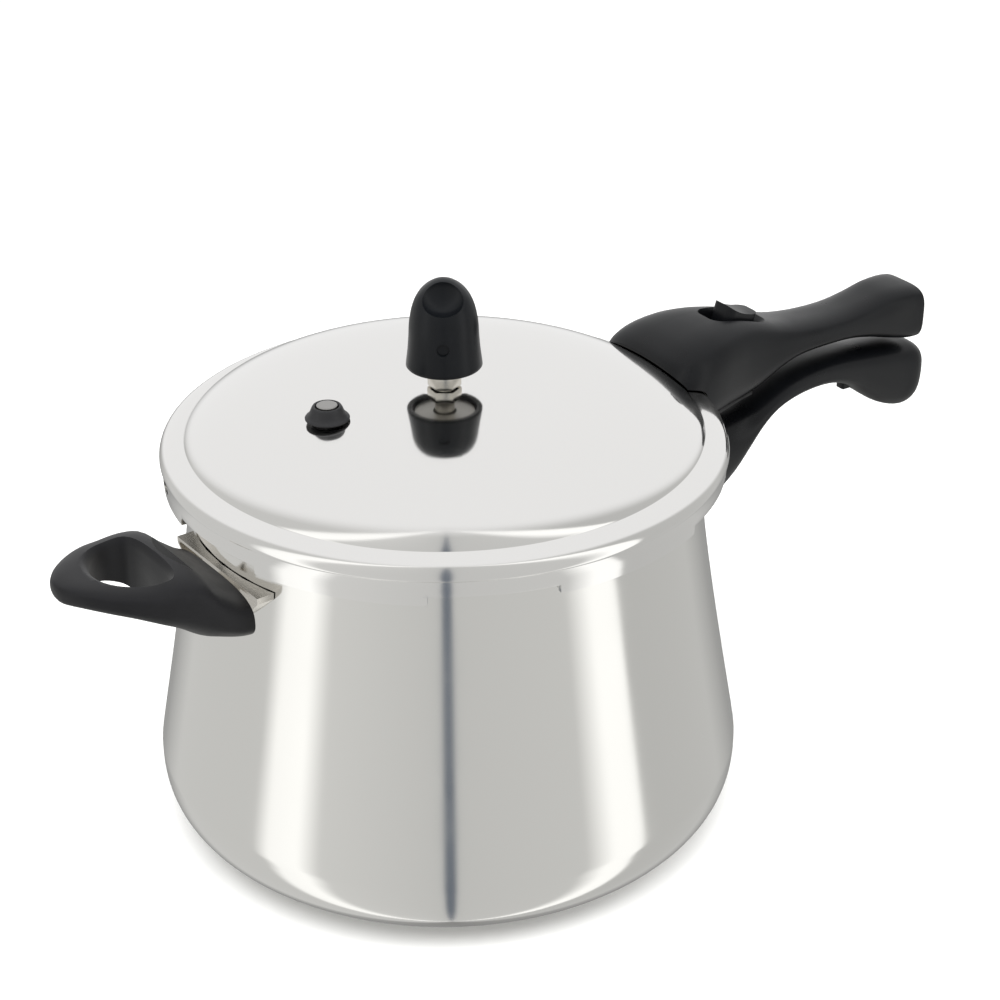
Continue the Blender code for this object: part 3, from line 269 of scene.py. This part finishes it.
# buffed aluminium like the pot, a little glossier; lines 0.3 mm apart
lid_aluminium = polished_metal("Buffed aluminium, lid", "EBEAE8", 0.08, 0.3, 0.04)
lid = finish_mesh("lid", build, lid_aluminium, 40)
cutters = []
build = bmesh.new()
spin_profile(build, [(lid_radius - 8, 159.3), (lid_radius + 3, 159.3), (lid_radius + 3, 163.9),
                     (lid_radius - 8, 163.9)], 10, start=163 - 3.27, sweep=6.54)
soften(build, 60, 1.6, 4)
cutters.append(finish_mesh("slot_cutter", build, None))
for x, y, radius in ((-53.5, -1.0, 5.8),):
    build = bmesh.new()
    bmesh.ops.create_cone(build, cap_ends=True, segments=48, radius1=radius, radius2=radius, depth=30)
    bmesh.ops.translate(build, vec=(x, y, 185), verts=build.verts)
    cutters.append(finish_mesh("hole_cutter", build, None))
boolean_cut(lid, cutters)
lid.data.materials.clear()
lid.data.materials.append(lid_aluminium)
lid.data.shade_smooth()
lid.data.set_sharp_from_angle(angle=math.radians(40))
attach(lid, "lid")
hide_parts("lid_shell")


# =========================== upper long handle ==========================
# Compression-moulded black phenolic, riveted by a steel bracket to the lid's skirt. A broad
# saddle fits over the lid's edge and holds the latch's thumb recess; the grip ends square.
# Stations are (x from the lid's edge, half width, underside, top, roundness).
upper_stations = [
    (-15.5, 28.0, -5.5, 23.2, 3.2), (-12.0, 29.6, -5.5, 26.9, 3.2), (-6.0, 29.8, -5.4, 30.2, 3.2),
    (1.0, 28.4, -4.8, 32.3, 3.3), (9.0, 26.0, -4.4, 33.6, 3.4), (18.0, 22.8, -4.2, 33.8, 3.4),
    (27.0, 19.8, -3.8, 32.8, 3.4), (36.0, 17.5, -2.4, 30.8, 3.3), (44.0, 16.0, 0.4, 28.2, 3.1),
    (52.0, 15.1, 4.0, 25.4, 2.9), (62.0, 14.5, 7.0, 23.2, 2.7), (76.0, 14.0, 8.0, 21.8, 2.6),
    (91.0, 14.0, 7.8, 21.8, 2.6), (104.0, 14.7, 5.8, 23.4, 2.8), (116.0, 15.6, 2.8, 25.6, 3.2),
    (125.5, 15.8, 0.9, 26.0, 3.6), (131.6, 15.4, 0.6, 25.4, 3.8)]


def between(stations, steps):
    """More stations on a smooth curve through the given ones."""
    line = []
    for k in range(len(stations) - 1):
        a, b = stations[max(k - 1, 0)], stations[k]
        c, d = stations[k + 1], stations[min(k + 2, len(stations) - 1)]
        for step in range(steps):
            t = step / steps
            row = []
            for p0, p1, p2, p3 in zip(a, b, c, d):
                row.append(0.5 * (2 * p1 + (p2 - p0) * t + (2 * p0 - 5 * p1 + 4 * p2 - p3) * t * t
                                  + (3 * p1 - p0 - 3 * p2 + p3) * t ** 3))
            line.append(tuple(row))
    return line + [stations[-1]]


def loft_handle(name, stations, out, material, ends, points=56, under=None):
    """Bridges rounded-oblong sections, closes both ends and rounds the ends' edges."""
    build = bmesh.new()
    loops = []
    for x, half, low, high, roundness in stations:
        ring = []
        for k in range(points):
            a = 2 * math.pi * k / points
            c, s = math.cos(a), math.sin(a)
            power = 2 / (under if under and s < 0 else roundness)
            y = half * math.copysign(abs(c) ** power, c)
            z = (high - low) / 2 * math.copysign(abs(s) ** power, s)
            ring.append(build.verts.new((out + x, y, skirt_bottom + (low + high) / 2 + z)))
        loops.append([build.edges.new(pair) for pair in zip(ring, ring[1:] + ring[:1])])
    for near, far in zip(loops, loops[1:]):
        bmesh.ops.bridge_loops(build, edges=near + far)
    rounded = []
    for loop, offset in zip((loops[0], loops[-1]), ends):
        bmesh.ops.contextual_create(build, geom=loop)
        if offset:
            rounded.append((loop, offset))
    for loop, offset in rounded:
        bmesh.ops.bevel(build, geom=loop, offset=offset, segments=4, profile=0.5, affect='EDGES',
                        material=-1, clamp_overlap=True)
    return finish_mesh(name, build, material, 38)


def turned_cutter(name, profile, steps=240):
    """A cutter turned about Z from an outline that starts and ends on the axis."""
    build = bmesh.new()
    spin_profile(build, profile, steps, closed=False)
    return finish_mesh(name, build, None)


def prism_cutter(name, outlines, frame_matrix=Matrix()):
    """A cutter bridged through flat outlines given as (height, [(x, y), ...])."""
    build = bmesh.new()
    loops = []
    for height, outline in outlines:
        ring = [build.verts.new((x, y, height)) for x, y in outline]
        loops.append([build.edges.new(pair) for pair in zip(ring, ring[1:] + ring[:1])])
    for near, far in zip(loops, loops[1:]):
        bmesh.ops.bridge_loops(build, edges=near + far)
    for loop in (loops[0], loops[-1]):
        bmesh.ops.contextual_create(build, geom=loop)
    bmesh.ops.transform(build, matrix=frame_matrix, verts=build.verts)
    return finish_mesh(name, build, None)


def oblong(length, width, corner, shift=0.0, grow=0.0):
    """A rounded oblong in (x, y), grown by an offset."""
    points = []
    for cx, cy, start in ((1, 1, 0), (-1, 1, 90), (-1, -1, 180), (1, -1, 270)):
        for k in range(7):
            a = math.radians(start + 15 * k)
            points.append((shift + cx * (length / 2 - corner) + (corner + grow) * math.cos(a),
                           cy * (width / 2 - corner) + (corner + grow) * math.sin(a)))
    return points


def phenolic(name, code, roughness):
    """Moulded phenolic: a soft sheen, flow marks a few centimetres long, a fine skin texture."""
    made, tree, shader = new_material(name, code, 0.0, roughness)
    shader.inputs["Specular IOR Level"].default_value = 0.24
    where = add_node(tree, "ShaderNodeTexCoord").outputs["Object"]
    flow = add_node(tree, "ShaderNodeTexNoise", {"Vector": where, "Scale": 45.0, "Detail": 4.0,
                                                 "Roughness": 0.6})
    gloss = add_node(tree, "ShaderNodeMapRange", {"Value": flow.outputs[0], "From Min": 0.3,
                                                  "From Max": 0.7, "To Min": roughness - 0.05,
                                                  "To Max": roughness + 0.07})
    tree.links.new(gloss.outputs[0], shader.inputs["Roughness"])
    tone = add_node(tree, "ShaderNodeValToRGB", {0: flow.outputs[0]})
    tone.color_ramp.elements[0].position, tone.color_ramp.elements[1].position = 0.3, 0.75
    tone.color_ramp.elements[0].color = [0.8 * c for c in linear(code)[:3]] + [1]
    tone.color_ramp.elements[1].color = [1.25 * c for c in linear(code)[:3]] + [1]
    tree.links.new(tone.outputs[0], shader.inputs["Base Color"])
    skin = add_node(tree, "ShaderNodeTexNoise", {"Vector": where, "Scale": 1400.0, "Detail": 2.0})
    bump = add_node(tree, "ShaderNodeBump", {"Height": skin.outputs[0], "Strength": 0.12,
                                             "Distance": 0.0001})
    tree.links.new(bump.outputs[0], shader.inputs["Normal"])
    return made


def cut_shape(item, cutters, material, sharp=38):
    """Cuts a piece, then puts its material and smooth shading back."""
    boolean_cut(item, cutters)
    item.data.materials.clear()
    item.data.materials.append(material)
    item.data.shade_smooth()
    item.data.set_sharp_from_angle(angle=math.radians(sharp))


# black phenolic resin with a semi-gloss moulded skin
handle_phenolic = phenolic("Black phenolic, long handles", "0A0B0D", 0.3)
upper = loft_handle("upper_long_handle", between(upper_stations, 4), lid_radius, handle_phenolic,
                    (2.0, 2.6))
slope = math.radians(17.0)
ahead = Vector((-math.cos(slope), 0, math.sin(slope)))
above = Vector((math.sin(slope), 0, math.cos(slope)))
latch_place = Matrix((ahead, above.cross(ahead), above)).transposed().to_4x4()
latch_place.translation = Vector((lid_radius + 31.0, 0, skirt_bottom + 26.0))
over_lid = [(r + 0.5, z + 0.4) for r, z in dome_line + shoulder]
recess = [(z, oblong(27.3, 14.4, 4.4, 2.25, grow)) for z, grow in
          ((0, 0), (2.6, 0.1), (4.0, 0.9), (6.5, 3.2), (10.0, 6.6), (14.0, 11.0))]
hollow = [(x, y) for x, y in ((-5.4, -23), (6, -21.5), (20, -17.5), (35, -13), (35, 13), (20, 17.5),
                              (6, 21.5), (-5.4, 23))]
cutters = [
    turned_cutter("lid_clearance", [(0, 140), (0, over_lid[0][1])] + over_lid
                  + [(lid_radius + 0.52, step_height), (lid_radius + 0.52, 140)]),
    prism_cutter("recess_cutter", recess, latch_place),
    prism_cutter("hollow_cutter", [(z, [(lid_radius + x, y) for x, y in hollow])
                                   for z in (140, skirt_bottom + 11.0)]),
]
cut_shape(upper, cutters, handle_phenolic)
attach(upper, "lid")
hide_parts("upper_handle")


# ============================ lower long handle =========================
# The same phenolic, fixed by one screw to a steel tongue riveted to the pot. Its top rises and falls
# along its length to nest under the upper handle; a small lug stands under the grip.
lower_stations = [
    (-6.0, 25.0, -51.6, -14.3, 2.6), (0.0, 24.0, -51.8, -14.2, 2.6),
    (10.0, 21.0, -50.4, -14.1, 2.6), (20.0, 18.0, -46.8, -13.8, 2.6),
    (28.0, 16.2, -41.0, -13.1, 2.6), (35.0, 15.1, -32.6, -11.8, 2.6),
    (42.0, 14.6, -23.2, -9.3, 2.6), (50.0, 14.2, -16.4, -5.8, 2.6), (60.0, 14.0, -12.7, -2.2, 2.6),
    (72.0, 14.0, -11.0, 0.0, 2.6), (84.0, 14.0, -11.9, 0.7, 2.6), (96.0, 14.2, -16.4, 0.3, 2.6),
    (106.0, 14.7, -23.4, -0.5, 2.7), (116.0, 15.3, -30.2, -1.5, 2.8),
    (126.0, 15.6, -33.4, -2.5, 2.9), (133.0, 14.4, -31.2, -3.4, 3.0), (137.5, 11.0, -24.8, -6.0, 3.0)]
lower = loft_handle("lower_long_handle", between(lower_stations, 4), lid_radius, handle_phenolic,
                    (0, 2.0))
build = bmesh.new()
bmesh.ops.create_cube(build, size=1)
bmesh.ops.scale(build, vec=(5.0, 5.0, 7.0), verts=build.verts)
soften(build, 60, 0.8, 3)
bmesh.ops.translate(build, vec=(lid_radius + 100.0, 0, skirt_bottom - 17.4), verts=build.verts)
lug = finish_mesh("grip_lug", build, None)
boolean_cut(lower, [lug], 'UNION')
wall_line = [(r + 2.8, z) for r, z in outside if 85 < z < 157]
cut_shape(lower, [turned_cutter("pot_clearance", [(0, wall_line[0][1])] + wall_line
                                + [(0, wall_line[-1][1])])], handle_phenolic)
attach(lower, "pot")
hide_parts("lower_handle")


# ============================= helper handle ============================
# A short phenolic loop opposite the long handles, pushed into a pressed steel cup and held by
# one screw. A finger hole goes right through, and a curved groove sets off the root.
helper_stations = [
    (5.3, 29.6, -33.0, -11.8, 3.0), (0.5, 30.4, -32.0, -9.4, 3.2),
    (-7.0, 31.0, -29.6, -3.4, 3.4), (-13.0, 30.6, -27.4, 1.8, 3.8), (-21.0, 29.6, -21.4, 3.2, 4.0),
    (-30.0, 27.8, -15.8, 3.2, 4.0), (-38.0, 25.2, -11.0, 3.6, 4.0), (-46.0, 20.4, -7.4, 4.0, 3.6),
    (-53.0, 14.0, -4.8, 4.2, 3.4), (-57.0, 8.8, -3.6, 3.8, 3.0), (-58.7, 5.4, -2.8, 3.0, 2.6),
    (-59.4, 1.8, -1.2, 1.4, 2.2)]
helper_turn = Matrix.Rotation(math.radians(4.0), 4, 'Z')
# the same phenolic, a little duller from handling
helper_phenolic = phenolic("Black phenolic, helper handle", "131315", 0.4)
helper = loft_handle("helper_loop", between(helper_stations, 4), -lid_radius, helper_phenolic,
                     (0, 0), under=2.3)
far, near, half = lid_radius + 43.5, lid_radius + 19.5, 19.0
hole = []
for k in range(48):
    c, t = math.cos(math.pi * k / 24), math.sin(math.pi * k / 24)
    squareness = 3.4 if c > 0 else 2.0
    hole.append((-near - 7.0 + (7.0 if c > 0 else far - near - 7.0)
                 * math.copysign(abs(c) ** (2 / squareness), c),
                 half * math.copysign(abs(t) ** (2 / squareness), t)))
centre_x = -(far + near) / 2


def grown(outline, middle, amount):
    """An outline with each point moved away from a middle point."""
    out = []
    for x, y in outline:
        size = math.hypot(x - middle[0], y - middle[1])
        out.append((x + (x - middle[0]) * amount / size, y + (y - middle[1]) * amount / size))
    return out


hole_cutter = prism_cutter("hole_cutter", [(z, grown(hole, (centre_x, 0), wider)) for z, wider in (
    (125, 3.0), (140, 0.8), (146, 0.0), (154.5, 0.0), (156.0, 0.3), (157.2, 1.0), (158.2, 2.0),
    (159.4, 4.0))])
rib_side, bulge_side = [], []
for k in range(25):
    across = 1 - k / 12
    x = 3.2 - near + 5.0 * across ** 2
    rib_side.append((x, 0.85 * half * across))
    bulge_side.append((x + 4.5 * (1 - across ** 2), 0.85 * half * across))
groove = prism_cutter("groove_cutter", [(z, rib_side + bulge_side[-2:0:-1])
                                        for z in (skirt_bottom - 13, skirt_bottom + 10)])
cup_half, cup_top, cup_drop, cup_wall, gap = 30.0, skirt_bottom - 11.5, 22.0, 1.3, 0.4


def cup_outline(smaller, count=33):
    """The cup's outline in (height, across): flat top, short ends, round bottom."""
    wide, top, drop = cup_half - smaller, cup_top - smaller, cup_drop - smaller
    points = [(top, wide), (top, -wide)]
    for k in range(count):
        across = -math.cos(math.pi * k / (count - 1))
        points.append((cup_top - 2.5 - drop * (1 - abs(across) ** 1.4), wide * across))
    return points


lip = next(r for r, z in reversed(outside) if z < cup_top) + 3.2
lying = Matrix(((0, 0, -1, 0), (0, 1, 0, 0), (1, 0, 0, 0), (0, 0, 0, 1)))
slab = [(skirt_bottom - 60, 50), (skirt_bottom + 6, 50), (skirt_bottom + 6, -50), (skirt_bottom - 60, -50)]
trim = prism_cutter("root_trim", [(x, slab) for x in (lid_radius - 50, lip + gap)], lying)
boolean_cut(trim, [prism_cutter("root_keep", [(x, cup_outline(cup_wall + gap)) for x in
                                              (lid_radius - 60, lip + 8)], lying)])
behind_floor = [(r + 2.3, z) for r, z in outside if 85 < z < 157]
wall_cutter = turned_cutter("root_wall", [(0, behind_floor[0][1])] + behind_floor
                            + [(0, behind_floor[-1][1])])
cut_shape(helper, [wall_cutter, trim], helper_phenolic)
cut_shape(helper, [hole_cutter, groove], helper_phenolic)
helper.data.transform(helper_turn)
helper.visible_glossy = False
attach(helper, "pot")
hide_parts("helper_handle")


# =============================== latch knob =============================
# A phenolic thumb slide with a dished top, on a stem that carries the steel latch bar.
build = bmesh.new()
bmesh.ops.create_cube(build, size=1)
bmesh.ops.scale(build, vec=(17.0, 13.0, 9.7), verts=build.verts)
upright = [e for e in build.edges if abs(e.verts[0].co.z - e.verts[1].co.z) > 1]
bmesh.ops.bevel(build, geom=upright, offset=4.0, segments=8, profile=0.5, affect='EDGES', material=-1)
bmesh.ops.translate(build, vec=(0, 0, 5.15), verts=build.verts)
knob = finish_mesh("thumb_slide", build, handle_phenolic, 38, 1.0)
build = bmesh.new()
bmesh.ops.create_cone(build, cap_ends=True, segments=96, radius1=24, radius2=24, depth=40)
bmesh.ops.rotate(build, cent=(0, 0, 0), matrix=Matrix.Rotation(math.pi / 2, 3, 'X'), verts=build.verts)
bmesh.ops.translate(build, vec=(-1.5, 0, 31.6), verts=build.verts)
boolean_cut(knob, [finish_mesh("dish_cutter", build, None, scale=1.0)])
build = bmesh.new()
build.from_mesh(knob.data)
soften(build, 40, 0.6, 3)
build.to_mesh(knob.data)
build.free()
build = bmesh.new()
bmesh.ops.create_cube(build, size=1)
bmesh.ops.scale(build, vec=(6.0, 5.0, 14.0), verts=build.verts)
bmesh.ops.translate(build, vec=(0, 0, -6.6), verts=build.verts)
boolean_cut(knob, [finish_mesh("stem", build, None, scale=1.0)], 'UNION')
knob.data.transform(Matrix.Scale(0.001, 4) @ latch_place)
knob.data.materials.clear()
knob.data.materials.append(handle_phenolic)
knob.data.shade_smooth()
knob.data.set_sharp_from_angle(angle=math.radians(38))
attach(knob, "latch")
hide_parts("latch_knob")


# =============================== vent pipe ==============================
# Nickel-plated brass: a threaded stem through the lid, a hexagon that seats on the lid's top,
# and above it the nozzle that the weight sits on.
lid_top = dome(0)
foot = lid_top + 0.3
build = bmesh.new()
spin_profile(build, [(1.6, lid_top - 14), (4.2, lid_top - 14), (4.6, lid_top - 13.6), (4.6, foot + 2.6),
                     (4.0, foot + 2.6), (4.0, lid_top + 12), (2.4, lid_top + 20),
                     (1.6, lid_top + 20)], 64)
made = bmesh.ops.create_cone(build, cap_ends=True, segments=6, radius1=5.9 / math.cos(math.pi / 6),
                             radius2=5.9 / math.cos(math.pi / 6), depth=5.2)["verts"]
bmesh.ops.rotate(build, cent=(0, 0, 0), matrix=Matrix.Rotation(math.radians(57), 3, 'Z'), verts=made)
bmesh.ops.translate(build, vec=(0, 0, foot + 2.6), verts=made)
bmesh.ops.bevel(build, geom=list({e for v in made for e in v.link_edges}), offset=0.4, segments=2,
                profile=0.5, affect='EDGES', material=-1)
# nickel plate over turned brass; lines 0.15 mm apart
nickel = polished_metal("Nickel plate, vent pipe", "D9D5CC", 0.16, 0.15, 0.15)
pipe = finish_mesh("vent_stem", build, nickel, 30)
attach(pipe, "lid")
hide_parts("vent_pipe")


# ================================ weight ================================
# A phenolic cap over a metal core. It is waisted, with a scoop for the fingers front and back
# that leave a thin ridge, and a small round hole where the cap is pinned to its core.
low = lid_top + 9.2
waist, top = low + 12.5, low + 36.5
cap_line = [(12.8, waist + 2.3), (12.8, low + 0.3), (13.1, low), (14.8, low), (15.2, low + 0.5),
            (15.1, low + 1.6), (14.4, low + 7), (13.95, waist)]
cap_line += bezier((13.9, waist), (13.8, waist + 10), (11.9, waist + 18.6), (5.2, waist + 22.4), 16)[1:]
cap_line += bezier((5.2, waist + 22.4), (3.6, waist + 23.5), (1.6, top), (0, top), 6)[1:]
build = bmesh.new()
spin_profile(build, [(0, waist + 2.3)] + cap_line, 128, closed=False)
# black phenolic, rubbed slightly dull by fingers
cap_phenolic = phenolic("Black phenolic, weight", "0C0E11", 0.33)
cap = finish_mesh("weight_grip", build, cap_phenolic, 38)
cutters = []
for side in (-1, 1):
    build = bmesh.new()
    bmesh.ops.create_uvsphere(build, u_segments=64, v_segments=40, radius=1)
    bmesh.ops.scale(build, vec=(9.8, 7.6, 8.4), verts=build.verts)
    bmesh.ops.translate(build, vec=(0, side * 9.8, waist + 20.6), verts=build.verts)
    bmesh.ops.rotate(build, cent=(0, 0, 0), matrix=Matrix.Rotation(math.radians(-33), 3, 'Z'),
                     verts=build.verts)
    cutters.append(finish_mesh("scoop_cutter", build, None))
build = bmesh.new()
bmesh.ops.create_cone(build, cap_ends=True, segments=32, radius1=2.5, radius2=2.5, depth=1.6)
bmesh.ops.rotate(build, cent=(0, 0, 0), matrix=Matrix.Rotation(math.pi / 2, 3, 'X'), verts=build.verts)
bmesh.ops.translate(build, vec=(0, -13.95, low + 12.0), verts=build.verts)
bmesh.ops.rotate(build, cent=(0, 0, 0), matrix=Matrix.Rotation(math.radians(-33), 3, 'Z'),
                 verts=build.verts)
cutters.append(finish_mesh("pin_cutter", build, None))
cut_shape(cap, cutters, cap_phenolic, 50)
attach(cap, "weight")
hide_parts("weight_cap")


# ============================== safety plug =============================
# A black rubber grommet snapped through the lid, with a grey fusible disc set in its top.
plug_x, plug_y = -53.5, -1.0
floor_z = dome(math.hypot(plug_x, plug_y)) + 0.9
plug_top = floor_z + 5.6
neck = floor_z - 5.2
line = [(0, neck - 3.0), (6.6, neck - 3.0), (7.2, neck - 2.4), (7.2, neck - 0.3), (6.9, neck),
        (5.4, neck), (5.4, floor_z), (8.3, floor_z), (8.65, floor_z + 0.25), (8.7, floor_z + 0.6),
        (8.4, floor_z + 1.0)]
line += bezier((8.4, floor_z + 1.0), (6.9, floor_z + 1.6), (6.4, floor_z + 4.2),
               (5.8, plug_top - 0.5), 10)[1:]
line += [(5.5, plug_top - 0.1), (5.1, plug_top), (4.7, plug_top - 0.15), (4.5, plug_top - 0.5),
         (4.5, plug_top - 2.2), (0, plug_top - 2.2)]
build = bmesh.new()
spin_profile(build, line, 72, closed=False)
bmesh.ops.translate(build, vec=(plug_x, plug_y, 0), verts=build.verts)
made, tree, shader = new_material("Moulded black rubber", "18181A", 0.0, 0.5)
where = add_node(tree, "ShaderNodeTexCoord").outputs["Object"]
grain = add_node(tree, "ShaderNodeTexNoise", {"Vector": where, "Scale": 1100.0, "Detail": 3.0})
bump = add_node(tree, "ShaderNodeBump", {"Height": grain.outputs[0], "Strength": 0.25,
                                         "Distance": 0.0001})
tree.links.new(bump.outputs[0], shader.inputs["Normal"])
sheen = add_node(tree, "ShaderNodeMapRange", {"Value": grain.outputs[0], "To Min": 0.42, "To Max": 0.6})
tree.links.new(sheen.outputs[0], shader.inputs["Roughness"])
rubber = made
plug = finish_mesh("safety_grommet", build, rubber, 40)
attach(plug, "lid")
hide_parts("safety_plug")


# ========================= small CAD metal and rubber ===================
# Pressed stainless brackets with a grain along the sheet, steel screws and rivets, the tin
# alloy disc and core, the plated nut, and the rubber gasket and washer.
def brushed_steel(name, code, roughness, stretch):
    """Rolled sheet: short streaks a few millimetres long in one direction."""
    made, tree, shader = new_material(name, code, 1.0, roughness)
    where = add_node(tree, "ShaderNodeTexCoord").outputs["Object"]
    long_streaks = add_node(tree, "ShaderNodeMapping", {"Vector": where, "Scale": stretch})
    streaks = add_node(tree, "ShaderNodeTexNoise", {"Vector": long_streaks.outputs[0], "Scale": 1.0,
                                                    "Detail": 4.0})
    rough = add_node(tree, "ShaderNodeMapRange", {"Value": streaks.outputs[0], "From Min": 0.3,
                                                  "From Max": 0.7, "To Min": roughness - 0.06,
                                                  "To Max": roughness + 0.08})
    tree.links.new(rough.outputs[0], shader.inputs["Roughness"])
    bump = add_node(tree, "ShaderNodeBump", {"Height": streaks.outputs[0], "Strength": 0.1,
                                             "Distance": 0.0001})
    tree.links.new(bump.outputs[0], shader.inputs["Normal"])
    return made


sheet_steel = brushed_steel("Pressed stainless sheet", "CFCBC4", 0.22, (2500, 180, 2500))
screw_steel = polished_metal("Stainless screws and rivets", "C8C4BD", 0.24, 0.2, 0.2)
fusible = polished_metal("Fusible tin alloy", "A7A6A4", 0.4, 0.25, 0.3, (-0.0535, -0.001, 0))
core_metal = polished_metal("Turned zinc core", "A9A8A5", 0.35, 0.2, 0.3)
finishes = {
    sheet_steel: ["lower_handle_bracket", "lid_bracket", "helper_bracket", "latch_keeper", "latch_bar",
                  "latch_detent_spring"],
    screw_steel: ["lower_bracket_rivet_1", "lower_bracket_rivet_2", "lower_bracket_rivet_3",
                  "lower_bracket_rivet_4", "helper_bracket_rivet_1", "helper_bracket_rivet_2",
                  "lid_bracket_rivet_1", "lid_bracket_rivet_2", "lower_handle_screw",
                  "helper_handle_screw", "latch_keeper_screw", "upper_handle_screw_1",
                  "upper_handle_screw_2", "latch_screw"],
    rubber: ["gasket", "vent_washer"],
    nickel: ["vent_pipe_nut"],
    fusible: ["safety_plug_insert"],
    core_metal: ["weight_core"],
    handle_phenolic: ["latch_cover"],
}
for finish, nodes in finishes.items():
    for node in nodes:
        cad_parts[node].data.materials.clear()
        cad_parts[node].data.materials.append(finish)


# ============================ studio and camera =========================
# A pale floor in a white tent: the walls glow evenly, with a tall window of light on either
# side and a narrow dark gap where the lens looks in.
build = bmesh.new()
bmesh.ops.create_grid(build, x_segments=1, y_segments=1, size=6000)
made, tree, shader = new_material("Pale studio floor", "FCFCFB", 0.0, 0.6)
where = add_node(tree, "ShaderNodeTexCoord").outputs["Object"]
mottle = add_node(tree, "ShaderNodeTexNoise", {"Vector": where, "Scale": 3.0, "Detail": 2.0})
even = add_node(tree, "ShaderNodeMapRange", {"Value": mottle.outputs[0], "To Min": 0.55, "To Max": 0.65})
tree.links.new(even.outputs[0], shader.inputs["Roughness"])
floor = finish_mesh("studio_floor", build, made)
floor.data.transform(Matrix.Translation((0, 0, -0.0002)))
floor.visible_glossy = False

azimuth = math.radians(-33.0)
world = bpy.data.worlds.new("White tent")
bpy.context.scene.world = world
world.use_nodes = True
tree = world.node_tree
tree.nodes.clear()
where = add_node(tree, "ShaderNodeTexCoord").outputs["Generated"]
turned = add_node(tree, "ShaderNodeVectorRotate", {"Vector": where, "Axis": (0, 0, 1), "Angle": -azimuth})
split = add_node(tree, "ShaderNodeSeparateXYZ", {0: turned.outputs[0]}).outputs
behind = add_node(tree, "ShaderNodeMath", {0: split[1], 1: -1.0}, operation='MULTIPLY')
bearing = add_node(tree, "ShaderNodeMath", {0: split[0], 1: behind.outputs[0]}, operation='ARCTAN2')
share = add_node(tree, "ShaderNodeMapRange", {"Value": bearing.outputs[0], "From Min": -math.pi,
                                              "From Max": math.pi})
walls = add_node(tree, "ShaderNodeValToRGB", {0: share.outputs[0]})
ramp = walls.color_ramp
stops = ((-180, 0.18), (-152, 0.24), (-128, 0.42), (-76, 0.42), (-69, 0.76), (-56, 0.80), (-47, 0.46),
         (-0.6, 0.40), (-0.2, 0.10), (3.0, 0.10), (3.4, 0.40), (52, 0.42), (64, 0.80), (77, 0.80),
         (79, 0.36), (128, 0.38), (152, 0.24), (180, 0.18))
while len(ramp.elements) < len(stops):
    ramp.elements.new(0.5)
for element, (degrees, level) in zip(ramp.elements, stops):
    element.position = 0.5 + degrees / 360
    element.color = (level * 0.85, level, level * 1.25, 1) if level < 0.15 else (level, level, level * 0.985, 1)
tilted = add_node(tree, "ShaderNodeMath", {0: split[1], 1: 0.766, 2: 0.0}, operation='MULTIPLY_ADD')
height = add_node(tree, "ShaderNodeMath", {0: split[2], 1: 0.643, 2: tilted.outputs[0]},
                  operation='MULTIPLY_ADD')
sky_share = add_node(tree, "ShaderNodeMapRange", {"Value": height.outputs[0], "From Min": 0.50,
                                                  "From Max": 0.72, "To Max": 1.0},
                     interpolation_type='SMOOTHSTEP')
sky = add_node(tree, "ShaderNodeMix", {"Factor": sky_share.outputs[0], 6: walls.outputs[0],
                                       7: (0.61, 0.61, 0.612, 1)}, data_type='RGBA')
glow = add_node(tree, "ShaderNodeBackground", {"Color": sky.outputs[2], "Strength": 1.55})
add_node(tree, "ShaderNodeOutputWorld", {"Surface": glow.outputs[0]})

for name, place, size, power in (("overhead", (-0.5, -0.5, 1.5), 1.4, 30), ("fill", (0.9, -0.9, 1.1), 1.0, 9)):
    light = bpy.data.lights.new(name, 'AREA')
    light.shape, light.size, light.energy = 'DISK', size, power
    lamp = bpy.data.objects.new(name, light)
    bpy.context.scene.collection.objects.link(lamp)
    lamp.location = place
    lamp.rotation_euler = (Vector((0, 0, 0.1)) - Vector(place)).to_track_quat('-Z', 'Y').to_euler()
    lamp.visible_glossy = False

camera_data = bpy.data.cameras.new("camera")
camera_data.lens, camera_data.sensor_width = 75.3, 36.0
camera_data.dof.use_dof = False
camera = bpy.data.objects.new("camera", camera_data)
bpy.context.scene.collection.objects.link(camera)
camera.location = (-0.3922, -0.6444, 0.5409)
camera.rotation_euler = Vector((0.4803, 0.7396, -0.4715)).to_track_quat('-Z', 'Y').to_euler()
bpy.context.scene.camera = camera
bpy.context.scene.view_settings.view_transform = 'Standard'
